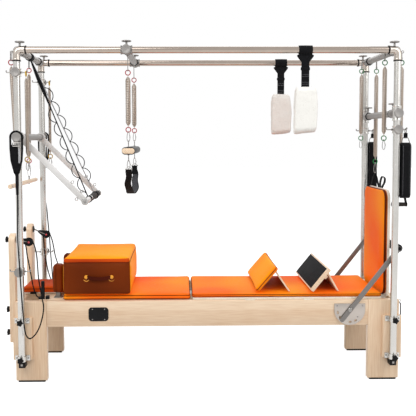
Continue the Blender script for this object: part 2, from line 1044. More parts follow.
BRAID = Webbing("braided_rope", ribs=340.0, lift="242427")
PALE_WEB = Webbing("pale_webbing", colour="9C9C9F", lift="D2D2D4")
PLASTIC = Moulded("black_plastic_skin", "black_plastic", "09090A", "131315", 0.42, gloss=0.15)
RUBBER = Moulded("black_rubber", "black_plastic", "0D0D0F", "19191C", 0.7, gloss=0.1)
FOAM = Moulded(
    "dark_foam_skin", "dark_foam", "2E2A28", "3E3835", 0.85, grain=900.0, depth=0.0003, sheen=0.05,
    gloss=0.15)
RED = Moulded("red_ring_paint", "spring_steel", "B81028", "A00C20", 0.4, gloss=0.2)
YELLOW = Moulded("yellow_ring_paint", "spring_steel", "D2A800", "BC9400", 0.4, gloss=0.2)
BRACKET = Metal("bracket_steel", "satin_tube", "B0A8A1", 0.3)
GREEN = Moulded("green_ring_paint", "spring_steel", "0A7838", "086430", 0.4, gloss=0.2)
SIGNAL = Moulded("red_pulley_hub", "black_plastic", "C8444C", "B4343E", 0.4)
THREAD = Moulded("grey_thread", "black_web", "8E8E92", "77777C", 0.7)
AMBER = Moulded("amber_button", "orange_vinyl", "F2A52C", "E39420", 0.3)
FLEECE = Fleece()
FLEECE_WORN = Fleece(name="worn_fleece_pile", colour="E4DDD6", shade="D3CAC2")


class Workshop:
    """Turns finished forms into the scene's pieces and reports each one."""

    def __init__(self) -> None:
        """Start with no materials made."""
        self.made: dict[str, bpy.types.Material] = {}
        self.count = 0

    def material(self, finish: Finish) -> bpy.types.Material:
        """Return a finish's material, built once.

        Args:
            finish: The finish.

        Returns:
            Its material.
        """
        if finish.name not in self.made:
            self.made[finish.name] = finish.material()
        return self.made[finish.name]

    def object(self, name: str, form: Form, *finishes: Finish, sharp: float = 35.0) -> bpy.types.Object:
        """Make a form a smooth-shaded object in the scene.

        Args:
            name: The piece's name.
            form: The form, which is freed.
            *finishes: The finishes of its material slots, in order.
            sharp: Edges above this angle in degrees stay sharp.

        Returns:
            The object.
        """
        mesh = bpy.data.meshes.new(name)
        form.mesh.to_mesh(mesh)
        form.mesh.free()
        mesh.shade_smooth()
        mesh.set_sharp_from_angle(angle=math.radians(sharp))
        for finish in finishes:
            mesh.materials.append(self.material(finish))
        thing = bpy.data.objects.new(name, mesh)
        bpy.context.scene.collection.objects.link(thing)
        return thing

    def declare(
        self, thing: bpy.types.Object, body: str, slot: str, nodes: Sequence[str] = (),
    ) -> bpy.types.Object:
        """Seat a finished object on its body and name what it stands for.

        Args:
            thing: The object.
            body: The body that carries it.
            slot: The record's material slot.
            nodes: The frame nodes that it replaces.

        Returns:
            The object.
        """
        if body:
            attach(thing, body)
        if nodes:
            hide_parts(*nodes)
        self.count += 1
        log.info("%3d %s on %s", self.count, thing.name, body or "a blend")
        return thing

    def piece(
        self, name: str, form: Form, body: str, *finishes: Finish, nodes: Sequence[str] = (),
        sharp: float = 35.0,
    ) -> bpy.types.Object:
        """Make a form a piece of the table.

        Args:
            name: The piece's name.
            form: The form, which is freed.
            body: The body that carries it.
            *finishes: Its finishes; the first gives the slot.
            nodes: The frame nodes that it replaces.
            sharp: Edges above this angle in degrees stay sharp.

        Returns:
            The object.
        """
        thing = self.object(name, form, *finishes, sharp=sharp)
        return self.declare(thing, body, finishes[0].slot, nodes)


@dataclass
class Studio:
    """The photograph's camera, a pale floor, soft light and a white surround."""

    focal_pixels: float = 699.8
    centre_pixels: Pair = (193.7, 184.5)
    yaw: float = -0.97
    pitch: float = 3.83
    roll: float = -0.13
    station: tuple[float, float, float] = (-0.16, -4.627, 1.525)
    sensor: float = 36.0
    floor_half: float = 30.0
    floor_colour: str = "B8B8B8"
    floor_glow: float = 0.8
    surround: float = 0.62
    softboxes: tuple[tuple[str, tuple[float, float, float], float, float], ...] = (
        ("key_softbox", (-2.2, -3.2, 4.4), 3.2, 122.0),
        ("fill_softbox", (3.2, -2.6, 3.2), 2.6, 66.0),
        ("back_softbox", (0.4, 3.4, 4.2), 3.4, 55.0),
    )

    def build(self) -> None:
        """Set up the camera, the light and the floor."""
        self.camera()
        self.lamps()
        self.world()
        self.floor()
        bpy.context.scene.view_settings.view_transform = "Standard"
        log.info("studio ready")

    def camera(self) -> None:
        """Place the camera where the photograph was taken from."""
        yaw, pitch, roll = (math.radians(angle) for angle in (self.yaw, self.pitch, self.roll))
        ahead = xyz(-math.sin(yaw), math.cos(yaw), 0)
        right = xyz(math.cos(yaw), math.sin(yaw), 0)
        level = xyz(0, 0, 1)
        look = ahead * math.cos(pitch) - level * math.sin(pitch)
        up = level * math.cos(pitch) + ahead * math.sin(pitch)
        turned_right = right * math.cos(roll) + up * math.sin(roll)
        turned_up = up * math.cos(roll) - right * math.sin(roll)
        data = bpy.data.cameras.new("photo_camera")
        data.sensor_width = self.sensor
        data.lens = self.focal_pixels * self.sensor / PHOTO_PIXELS
        data.shift_x = (PHOTO_PIXELS / 2 - self.centre_pixels[0]) / PHOTO_PIXELS
        data.shift_y = (self.centre_pixels[1] - PHOTO_PIXELS / 2) / PHOTO_PIXELS
        camera = bpy.data.objects.new("photo_camera", data)
        bpy.context.scene.collection.objects.link(camera)
        turn = Matrix((turned_right, turned_up, -look)).transposed().to_4x4()
        camera.matrix_world = Matrix.Translation(self.station) @ turn
        bpy.context.scene.camera = camera

    def lamps(self) -> None:
        """Hang the soft boxes, each turned to the middle of the table."""
        aim = xyz(0, 0, 1.0)
        for name, place, size, power in self.softboxes:
            data = bpy.data.lights.new(name, "AREA")
            data.size = size
            data.energy = power
            lamp = bpy.data.objects.new(name, data)
            lamp.location = place
            lamp.rotation_euler = (Vector(place) - aim).to_track_quat("Z", "Y").to_euler()
            bpy.context.scene.collection.objects.link(lamp)

    def seen(self, tree: bpy.types.NodeTree) -> bpy.types.NodeSocket:
        """Return whether a ray comes from the camera, a mirror or glass.

        Args:
            tree: The node tree that asks.

        Returns:
            One for such a ray, nought for any other.
        """
        path = tree.nodes.new("ShaderNodeLightPath")
        total = path.outputs["Is Camera Ray"]
        for name in ("Is Glossy Ray", "Is Transmission Ray"):
            larger = tree.nodes.new("ShaderNodeMath")
            larger.operation = "MAXIMUM"
            tree.links.new(total, larger.inputs[0])
            tree.links.new(path.outputs[name], larger.inputs[1])
            total = larger.outputs[0]
        return total

    def world(self) -> None:
        """Surround the table with white that lights it only at a plain level."""
        world = bpy.data.worlds.new("white_surround")
        world.use_nodes = True
        bpy.context.scene.world = world
        tree = world.node_tree
        plain = tree.nodes["Background"]
        plain.inputs["Strength"].default_value = self.surround
        plain.inputs["Color"].default_value = (1, 1, 1, 1)
        white = tree.nodes.new("ShaderNodeBackground")
        white.inputs["Color"].default_value = (1, 1, 1, 1)
        white.inputs["Strength"].default_value = 1.0
        mix = tree.nodes.new("ShaderNodeMixShader")
        tree.links.new(self.seen(tree), mix.inputs["Fac"])
        tree.links.new(plain.outputs[0], mix.inputs[1])
        tree.links.new(white.outputs[0], mix.inputs[2])
        tree.links.new(mix.outputs[0], tree.nodes["World Output"].inputs["Surface"])

    def floor(self) -> None:
        """Lay a pale floor that keeps the table's shadow and shows white beyond it."""
        form = Form.box((-self.floor_half, -self.floor_half, -0.02), (self.floor_half, self.floor_half, 0))
        mesh = bpy.data.meshes.new("studio_floor")
        form.mesh.to_mesh(mesh)
        form.mesh.free()
        graph = Graph("pale_floor")
        graph.finish(Base_Color=linear(self.floor_colour), Roughness=0.9)
        strength = graph.maths("MULTIPLY", self.seen(graph.tree), self.floor_glow)
        glow = graph.add("ShaderNodeEmission", Color=(1, 1, 1, 1), Strength=strength)
        total = graph.add("ShaderNodeAddShader")
        graph.tree.links.new(graph.shader.outputs[0], total.inputs[0])
        graph.tree.links.new(glow.outputs[0], total.inputs[1])
        graph.tree.links.new(total.outputs[0], graph.tree.nodes["Material Output"].inputs["Surface"])
        mesh.materials.append(graph.material)
        floor = bpy.data.objects.new("studio_floor", mesh)
        bpy.context.scene.collection.objects.link(floor)


@dataclass
class Hardware:
    """Knobs, eyes and rings that several sub-assemblies share."""

    shop: Workshop
    tube: float = TUBE
    sleeve: float = 0.028
    collar: float = 0.0265
    eye: float = 0.0095
    eye_wire: float = 0.0025
    ring: float = 0.015
    ring_wire: float = 0.003
    link_half: float = 0.011
    hook_rod: float = 0.0035
    sunk: float = 0.002

    def disc_knob(self, centre: Vector, way: Vector) -> Form:
        """Make a clamp's round knob: a turned hub, a thick disc with a soft rim and a dished face.

        Args:
            centre: Where it stands on the clamp.
            way: The way that it points.

        Returns:
            The knob.
        """
        profile = [
            (0, -self.sunk), (0.016, -self.sunk), (0.0135, 0.004), (0.0135, 0.0075), (0.0265, 0.009),
            (0.0285, 0.011), (0.0285, 0.017), (0.0265, 0.019), (0.021, 0.0198), (0.019, 0.0188), (0, 0.0188),
        ]
        return Form.turned(profile, centre, way, 36)

    def top_knob(self, foot: Vector, stem: float = 0.02) -> Form:
        """Make the flat mushroom knob that stands on a fitting.

        Args:
            foot: Where it stands.
            stem: The height of its stem.

        Returns:
            The knob.
        """
        profile = [
            (0, -self.sunk), (0.0085, -self.sunk), (0.0065, 0.004), (0.006, stem - 0.004), (0.010, stem),
            (0.0275, stem + 0.001), (0.0298, stem + 0.004), (0.0285, stem + 0.0075), (0.022, stem + 0.0095),
            (0, stem + 0.011),
        ]
        return Form.turned(profile, foot, xyz(0, 0, 1), 36)

    def star_knob(self, centre: Vector, way: Vector) -> Form:
        """Make a five-lobed hand knob on its stem.

        Args:
            centre: Where it stands.
            way: The way that it points.

        Returns:
            The knob.
        """
        lobes = 5
        points = []
        for i in range(60):
            angle = math.tau * i / 60
            radius = 0.02 * (0.87 + 0.13 * math.cos(lobes * angle))
            points.append((radius * math.cos(angle), radius * math.sin(angle)))
        head = Form.plate(points, Axis.Z, 0.013, 0.0275, edge=0.003, segments=3)
        hub = Form.turned([
            (0, 0.026), (0.009, 0.026), (0.0075, 0.0295), (0, 0.0295),
        ], xyz(0, 0, 0), (0, 0, 1), 24)
        stem = Form.turned([
            (0, -self.sunk), (0.0085, -self.sunk), (0.007, 0.003), (0.007, 0.014), (0, 0.014),
        ], xyz(0, 0, 0), (0, 0, 1), 24)
        turn = xyz(0, 0, 1).rotation_difference(way).to_matrix().to_4x4()
        return several([head, hub, stem]).moved(Matrix.Translation(centre) @ turn)

    def clamp_sleeve(self, start: Vector, end: Vector) -> Form:
        """Make a cast sleeve with a raised rim at each end.

        Args:
            start: The middle of one end.
            end: The middle of the other end.

        Returns:
            The sleeve.
        """
        length = (end - start).length
        rim, lip = self.sleeve, 0.0045
        waist = self.sleeve - 0.0025
        profile = [
            (self.tube + PLAY, 0), (rim, 0), (rim, lip), (waist, lip + 0.002), (waist, length - lip - 0.002),
            (rim, length - lip), (rim, length), (self.tube + PLAY, length),
        ]
        return Form.turned(profile, start, end - start, 40, edge=0.0008, hollow=True)

    def black_ring(self, start: Vector, end: Vector, radius: float | None = None) -> Form:
        """Make a black collar round a tube."""
        return Form.pipe(start, end, radius or self.collar, self.tube + 0.0002, 40, 0.0012)

    def eye_ring(self, low: Vector, axis: Axis = Axis.X) -> Form:
        """Make an eye whose lowest wire is centred on a point."""
        return Form.ring(low + xyz(0, 0, self.eye), axis, self.eye, self.eye_wire)

    def nut(self, centre: Vector, way: Vector, radius: float = 0.006, height: float = 0.004) -> Form:
        """Make a hexagon nut or bolt head."""
        profile = [(0, 0), (radius, 0), (radius, height * 0.75), (radius * 0.8, height), (0, height)]
        return Form.turned(profile, centre, way, 6)

    def snap_hook(self, top: Vector, length: float) -> Form:
        """Make a pear-shaped snap hook with its gate, hanging from a ring.

        Args:
            top: The top of the link's opening.
            length: Its height.

        Returns:
            The hook in the plane that faces the viewer.
        """
        half, wire = self.link_half, self.eye_wire
        points = []
        for i in range(32):
            angle = math.tau * i / 32
            level = (1 - math.cos(angle)) / 2
            width = half * (0.55 + 0.45 * level) * math.sin(angle)
            points.append(top + xyz(width, 0, -length * level))
        body = Form.wire(points, wire * 0.8, 8, ring=True)
        gate = Form.rod(
            top + xyz(half * 0.72, 0, -length * 0.34), top + xyz(half * 0.92, 0, -length * 0.62), wire * 1.05,
            12, 0.0004)
        return body.joined(gate)


@dataclass
class Bed:
    """The maple bed: rails with their tracks, leg panels, end boards and the bare name plate."""

    shop: Workshop
    hardware: Hardware
    half_length: float = 1.2
    half_width: float = BED_HALF
    top: float = BED_TOP
    rail_foot: float = 0.35
    rail_thickness: float = 0.04
    rail_half: float = 1.0047
    leg_width: float = 0.195
    leg_thickness: float = 0.045
    foot_height: float = 0.01
    foot_inset: float = 0.014
    board_thickness: float = 0.04
    upright: float = TOWER_X
    arris: float = 0.0025
    plate_ends: Pair = (-0.744, -0.62)
    plate_levels: Pair = (0.385, 0.472)
    block_places: Pair = (0.265, 0.633)
    handle_place: float = -0.3

    def build(self) -> None:
        """Build the bed's pieces."""
        for side in Side:
            self.rail(side)
            for end in End:
                self.leg(side, end)
        self.end_boards()
        self.name_plate()
        self.mat_blocks()
        self.pull_handle()

    def rail(self, side: Side) -> None:
        """Build a side rail and the aluminium track on its inner face.

        Args:
            side: The side of the table.
        """
        s = side.value
        inner = self.half_width - self.rail_thickness
        board = Form.box(
            (-self.rail_half, s * inner, self.rail_foot), (self.rail_half, s * self.half_width, self.top),
            self.arris)
        self.shop.piece(
            f"rail_board_{side.label}", board, "frame", MAPLE_LONG, nodes=[f"side_rail_{side.label}"])
        outline = [
            (s * inner, 0.426), (s * (inner - 0.026), 0.426), (s * (inner - 0.026), 0.448),
            (s * (inner - 0.0235), 0.448), (s * (inner - 0.0235), 0.4455), (s * (inner - 0.004), 0.4455),
            (s * (inner - 0.004), 0.462), (s * inner, 0.462),
        ]
        track = Form.plate(
            outline, Axis.X, -self.rail_half + 0.002, self.rail_half - 0.002, edge=0.0006, segments=1)
        self.shop.piece(f"carriage_track_{side.label}", track, "frame", TRACK)

    def leg(self, side: Side, end: End) -> None:
        """Build a leg panel with its rubber foot, backing board and the block under the upright.

        Args:
            side: The side of the table.
            end: The end of the table.
        """
        s, e = side.value, end.value
        name = f"{side.label}_{end.label}"
        outer, inner = e * self.half_length, e * (self.half_length - self.leg_width)
        panel = Form.box(
            (inner, s * (self.half_width - self.leg_thickness), self.foot_height),
            (outer, s * self.half_width, self.top), 0.005, 3)
        self.shop.piece(f"leg_panel_{name}", panel, "frame", MAPLE_TALL, nodes=[f"leg_{name}"])
        pad = Form.box(
            (inner + e * self.foot_inset, s * (self.half_width - self.leg_thickness + 0.003), 0),
            (outer - e * self.foot_inset, s * (self.half_width - 0.002), self.foot_height + 0.002), 0.002)
        self.shop.piece(f"rubber_foot_{name}", pad, "frame", RUBBER)
        x = e * self.upright
        backing = Form.box(
            (x - 0.058, s * (self.half_width - 0.002), 0.15),
            (x + 0.058, s * (self.half_width + 0.025), 0.415), 0.003)
        self.shop.piece(f"backing_board_{name}", backing, "frame", MAPLE_TALL)
        block = Form.box(
            (x - 0.02, s * (self.half_width - 0.002), 0.1083), (x + 0.02, s * 0.3805, 0.148), 0.003)
        bolt = Form.box((x - 0.007, s * 0.3795, 0.121), (x + 0.007, s * 0.3835, 0.135), 0.0012)
        self.shop.piece(f"foot_block_{name}", block, "frame", PLASTIC)
        self.shop.piece(f"foot_block_bolt_{name}", bolt, "frame", BRIGHT)

    def end_boards(self) -> None:
        """Build the two end boards; the foot one has the ledge that the jump board stands on."""
        half = self.half_width - self.leg_thickness - GAP
        for end, name in ((End.LEFT, "end_board_head"), (End.RIGHT, "end_board_foot")):
            e = end.value
            outer = e * self.half_length
            inner = outer - e * self.board_thickness
            board = Form.box((inner, -half, self.rail_foot), (outer, half, self.top), self.arris)
            if end is End.RIGHT:
                board.joined(Form.box((inner - 0.032, -half, 0.43), (inner + 0.002, half, 0.45), self.arris))
            self.shop.piece(f"{name}_maple", board, "frame", MAPLE_WIDE, nodes=[name])

    def name_plate(self) -> None:
        """Build the bare black plate on the front rail, with its four rivets."""
        face = -self.half_width
        (low, high), (foot, top) = self.plate_ends, self.plate_levels
        plate = Form.plate(
            rounded_rectangle(low, high, foot, top, 0.02), Axis.Y, face - 0.0018, face + 0.0005, edge=0.0006)
        self.shop.piece("bare_name_plate", plate, "frame", PLASTIC)
        rivets = []
        for x in (low + 0.024, high - 0.024):
            for z in (foot + 0.011, top - 0.011):
                head = [(0, -0.001), (0.004, -0.001), (0.0036, 0.0008), (0.002, 0.0016), (0, 0.0018)]
                rivets.append(Form.turned(head, xyz(x, face - 0.0016, z), (0, -1, 0), 16))
        self.shop.piece("name_plate_rivets", several(rivets), "frame", BRIGHT)

    def mat_blocks(self) -> None:
        """Build the pale stop blocks that peep out under the long mat's front edge."""
        blocks = []
        for x in self.block_places:
            blocks.append(Form.box(
                (x - 0.03, -0.318, self.top - 0.0005), (x + 0.03, -0.302, self.top + 0.004), 0.001))
        self.shop.piece("mat_stop_blocks", several(blocks), "frame", BIRCH)

    def pull_handle(self) -> None:
        """Build the black grab handle and its eye on the foot end."""
        x, y = self.half_length, self.handle_place
        line = filleted([
            xyz(x - 0.002, y, 0.485), xyz(x + 0.016, y, 0.485), xyz(x + 0.016, y, 0.405),
            xyz(x - 0.002, y, 0.405),
        ], 0.012)
        self.shop.piece("end_handle", Form.wire(line, 0.0035, 10), "frame", PLASTIC)
        eye = Form.ring(xyz(x + 0.009, y, 0.499), Axis.Y, 0.007, 0.002)
        self.shop.piece("end_handle_eye", eye, "frame", BRIGHT)


@dataclass
class Tower:
    """The steel tower: uprights with their fittings and clamps, top rails and end crossbars."""

    shop: Workshop
    hardware: Hardware
    x: float = TOWER_X
    y: float = TOWER_Y
    height: float = TOWER_Z
    foot: float = 0.1483
    elbow_rise: float = 0.066
    elbow_run: float = 0.06
    saddles: Pair = (0.165, 0.399)
    head_hooks: Pair = (0.71, HEAD_HOOK_Z)
    foot_hook: float = FOOT_HOOK_Z
    hook_reach: float = 0.066
    hook_tip: float = 0.011
    crossbar_half: float = 0.3478
    sleeve_start: float = 0.27
    leg_face: float = 0.3473
    saddle_half: float = 0.0165

    def build(self) -> None:
        """Build the tower's pieces."""
        for side in Side:
            for end in End:
                self.upright(side, end)
            self.top_rail(side)
        self.crossbar("head_crossbar", -self.x, [-1.2], [-0.3, 0.207])
        self.crossbar("foot_crossbar", self.x, [1.098, 1.202], [-0.28, 0.28])

    def upright(self, side: Side, end: End) -> None:
        """Build an upright tube with its elbow, collars, knobs, saddles and hook clamps.

        Args:
            side: The side of the table.
            end: The end of the table.
        """
        s, e = side.value, end.value
        x, y = e * self.x, s * self.y
        tube = self.hardware.tube
        name = f"{side.label}_{end.label}"
        neck = self.height - self.elbow_rise
        shaft = Form.pipe(xyz(x, y, self.foot), xyz(x, y, neck + 0.002), tube, tube - 0.003, 48)
        self.shop.piece(f"upright_tube_{name}", shaft, "frame", SATIN, nodes=[f"upright_{name}"])

        bend = filleted([
            xyz(x, y, neck), xyz(x, y, self.height), xyz(x - e * self.elbow_run, y, self.height),
        ], 0.03, 8)
        elbow = Form.wire(bend, tube + 0.002, 28)
        for start, stop in (
            (xyz(x, y, neck + 0.004), xyz(x, y, neck + 0.014)),
            (
                xyz(x - e * (self.elbow_run - 0.018), y, self.height),
                xyz(x - e * (self.elbow_run - 0.008), y, self.height)),
        ):
            elbow.joined(Form.rod(start, stop, tube + 0.0035, 40, 0.001))
        self.shop.piece(f"elbow_{name}", elbow, "frame", FITTING)
        collars = [
            self.hardware.black_ring(xyz(x, y, neck - 0.002), xyz(x, y, neck + 0.005)),
            Form.rod(
                xyz(x - e * self.elbow_run, y, self.height),
                xyz(x - e * (self.elbow_run - 0.007), y, self.height), self.hardware.collar, 40, 0.0012),
        ]
        self.shop.piece(f"black_collars_{name}", several(collars), "frame", PLASTIC)
        eye = Form.ring(xyz(x + e * 0.029, y, self.height - 0.012), Axis.Y, 0.007, 0.0022)
        self.shop.piece(f"elbow_eye_{name}", eye, "frame", BRIGHT)
        knob = self.hardware.top_knob(xyz(x - e * 0.021, y, self.height + tube + 0.0018))
        self.shop.piece(f"elbow_knob_{name}", knob, "frame", CAST)
        self.saddle_pair(side, end)
        for number, z in enumerate(self.head_hooks if end is End.LEFT else [self.foot_hook]):
            self.hook_clamp(f"{name}_{number + 1}", x, y, z)

    def saddle_pair(self, side: Side, end: End) -> None:
        """Build the two saddles that hold an upright to the leg, with their bolts and star knobs.

        Args:
            side: The side of the table.
            end: The end of the table.
        """
        s, e = side.value, end.value
        x, y = e * self.x, s * self.y
        face, half = s * self.leg_face, self.saddle_half
        wraps, bolts, knobs = [], [], []
        for z in self.saddles:
            bow = [(x + a, y + s * b) for a, b in arc(0, 0, self.hardware.tube + 0.0025, 0, 180, 20)]
            line = [(x + 0.046, face + s * 0.0025), (x + 0.024, face + s * 0.0025), *bow,
                    (x - 0.024, face + s * 0.0025), (x - 0.046, face + s * 0.0025)]
            wraps.append(Form.band(line, Axis.Z, z - half, z + half, 0.005))
            for way in (-1, 1):
                bolts.append(self.hardware.nut(xyz(x + way * 0.036, face + s * 0.005, z), xyz(0, s, 0)))
            knobs.append(self.hardware.star_knob(
                xyz(x, y + s * (self.hardware.tube + 0.005), z), xyz(0, s, 0)))
        name = f"{side.label}_{end.label}"
        self.shop.piece(f"saddles_{name}", several(wraps), "frame", SATIN)
        self.shop.piece(f"saddle_bolts_{name}", several(bolts), "frame", BRIGHT)
        self.shop.piece(f"saddle_knobs_{name}", several(knobs), "frame", PLASTIC)

    def hook_clamp(self, name: str, x: float, y: float, z: float) -> None:
        """Build a clamp with its round knob and the hook rod through it.

        Args:
            name: The end of its pieces' names.
            x: The upright's place along the bed.
            y: The upright's place across the bed.
            z: The clamp's height.
        """
        half = 0.023
        out = xyz(0, math.copysign(1, y), 0)
        sleeve = self.hardware.clamp_sleeve(xyz(x, y, z - half), xyz(x, y, z + half))
        knob = self.hardware.disc_knob(xyz(x, y, z) + out * self.hardware.sleeve, out)
        self.shop.piece(f"hook_clamp_{name}", sleeve, "frame", SATIN)
        self.shop.piece(f"hook_clamp_knob_{name}", knob, "frame", CAST)
        tip = self.hook_reach - self.hardware.hook_rod
        rods = []
        for way in (-1, 1):
            line = filleted([
                xyz(x + way * 0.026, y, z), xyz(x + way * tip, y, z),
                xyz(x + way * tip, y, z + self.hook_tip - 0.002),
            ], 0.006)
            rods.append(Form.wire(line, self.hardware.hook_rod, 12))
            rods.append(Form.turned([
                (0, -0.003), (0.003, -0.002), (0.0042, 0.0005), (0.003, 0.003), (0, 0.004),
            ], xyz(x + way * tip, y, z + self.hook_tip - 0.001), (0, 0, 1), 16))
            rods.append(Form.pipe(
                xyz(x + way * 0.0275, y, z), xyz(x + way * 0.033, y, z), 0.0065, 0.0034, 20, 0.001))
        self.shop.piece(f"hook_rod_{name}", several(rods), "frame", BRIGHT)

    def top_rail(self, side: Side) -> None:
        """Build a polished top rail.

        Args:
            side: The side of the table.
        """
        node = f"top_rail_{side.label}"
        low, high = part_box(node)
        tube = self.hardware.tube
        rail = Form.pipe(
            xyz(low.x, side.value * self.y, self.height), xyz(high.x, side.value * self.y, self.height), tube,
            tube - 0.003, 48)
        self.shop.piece(f"polished_rail_{side.label}", rail, "frame", POLISHED, nodes=[node])

    def crossbar(self, node: str, x: float, reaches: Sequence[float], places: Sequence[float]) -> None:
        """Build an end crossbar with its sleeves, black collars and the rods that hold the spring eyes.

        Args:
            node: The frame node that it replaces.
            x: Where it stands along the bed.
            reaches: Where its rods turn down, along the bed.
            places: Where they stand across the bed.
        """
        tube, half = self.hardware.tube, self.crossbar_half
        bar = Form.rod(xyz(x, -half, self.height), xyz(x, half, self.height), tube, 48, 0.001)
        for side in Side:
            s = side.value
            bar.joined(Form.rod(
                xyz(x, s * self.sleeve_start, self.height), xyz(x, s * (half - 0.002), self.height), 0.0255,
                40, 0.002))
        self.shop.piece(f"{node}_tube", bar, "frame", CAST, nodes=[node])
        rings = [
            self.hardware.black_ring(
                xyz(x, side.value * (self.sleeve_start - 0.008), self.height),
                xyz(x, side.value * self.sleeve_start, self.height))
            for side in Side
        ]
        self.shop.piece(f"{node}_collars", several(rings), "frame", PLASTIC)
        eyes = []
        drop = EYE_Z + 2 * self.hardware.eye - self.hardware.eye_wire
        for y in places:
            for reach in reaches:
                line = filleted([
                    xyz(x, y, self.height), xyz(reach, y, self.height), xyz(reach, y, drop),
                ], 0.009)
                eyes.append(Form.wire(line, 0.0045, 14))
                eyes.append(self.hardware.eye_ring(xyz(reach, y, EYE_Z)))
                eyes.append(Form.rod(
                    xyz(reach, y, drop + 0.004), xyz(reach, y, drop - 0.001), 0.006, 20, 0.001))
        self.shop.piece(f"{node}_spring_eyes", several(eyes), "frame", BRIGHT)


@dataclass
class Spring:
    """One hung spring: a painted ring, the close-wound coil, a second ring and a snap hook."""

    shop: Workshop
    hardware: Hardware
    name: str
    body: str
    node: str
    top: Vector
    bottom: Vector
    outer: float
    link: float
    paint: Moulded
    on_rod: bool = False
    wire: float = 0.0016
    pitch: float = 0.0037
    taper: float = 0.022

    def build(self) -> None:
        """Build the spring hanging from its top place to its bottom one."""
        ring, wire = self.hardware.ring, self.hardware.ring_wire
        drop = (self.top - self.bottom).length
        ring_z = self.hardware.eye_wire + wire + GAP - ring
        if self.on_rod:
            ring_z = -(ring - wire - self.hardware.hook_rod - GAP)
        coil_top = ring_z - ring
        low_ring = -drop + self.link + ring
        coil_drop = coil_top - (low_ring + ring)
        lie = xyz(0, 0, -1).rotation_difference(self.bottom - self.top).to_matrix().to_4x4()
        seat = Matrix.Translation(self.top) @ lie
        lead = 0.012
        radius = self.outer / 2 - self.wire
        coil = Form.coil(radius, self.wire, coil_drop - 2 * lead, self.pitch, self.taper)
        coil.moved(Matrix.Translation((0, 0, coil_top - lead)))
        for foot, tip in (
            (coil_top - lead - 0.004, coil_top + 0.001),
            (low_ring + ring + lead + 0.004, low_ring + ring - 0.001),
        ):
            coil.joined(Form.rod(xyz(0, 0, foot), xyz(0, 0, tip), self.wire * 1.4, 10))
            coil.joined(Form.ring(xyz(0, 0, tip), Axis.X, self.wire * 2.2, self.wire, steps=16))
        self.shop.piece(f"{self.name}_coil", coil.moved(seat), self.body, SPRING, nodes=[self.node])
        rings = several([
            Form.ring(xyz(0, 0, ring_z), Axis.X if self.on_rod else Axis.Y, ring, wire, steps=36, sides=10),
            Form.ring(xyz(0, 0, low_ring), Axis.Y, ring, wire, steps=36, sides=10),
        ])
        self.shop.piece(f"{self.name}_rings", rings.moved(seat), self.body, self.paint)
        hook = self.hardware.snap_hook(xyz(0, 0, -drop + self.link + 0.003), self.link + 0.003)
        swivel = Form.turned([
            (0, 0), (0.0042, 0.001), (0.0042, 0.006), (0.0025, 0.009), (0, 0.009),
        ], xyz(0, 0, -drop + self.link - 0.001), (0, 0, 1), 16)
        self.shop.piece(f"{self.name}_snap_hook", hook.joined(swivel).moved(seat), self.body, BRIGHT)


def seam_stitches(line: Sequence[Vector], out: Vector, step: float = 0.0075) -> Form:
    """Sew short stitches along a line of points.

    Args:
        line: The line that the stitches follow.
        out: The way that the sewn surface faces.
        step: The distance from one stitch to the next.

    Returns:
        The stitches, each a small flattened bead.
    """
    stitches = []
    spare = 0.0
    for start, stop in zip(line, line[1:]):
        run = (stop - start).length
        way = (stop - start).normalized()
        side = way.cross(out).normalized()
        turn = Matrix((way, side, out)).transposed().to_4x4()
        while spare < run:
            form = Form()
            place = Matrix.Translation(start + way * spare)
            bmesh.ops.create_cube(
                form.mesh, size=1, matrix=place @ turn @ Matrix.Diagonal((0.0048, 0.0011, 0.0009, 1)))
            stitches.append(form)
            spare += step
        spare -= run
    return several(stitches)


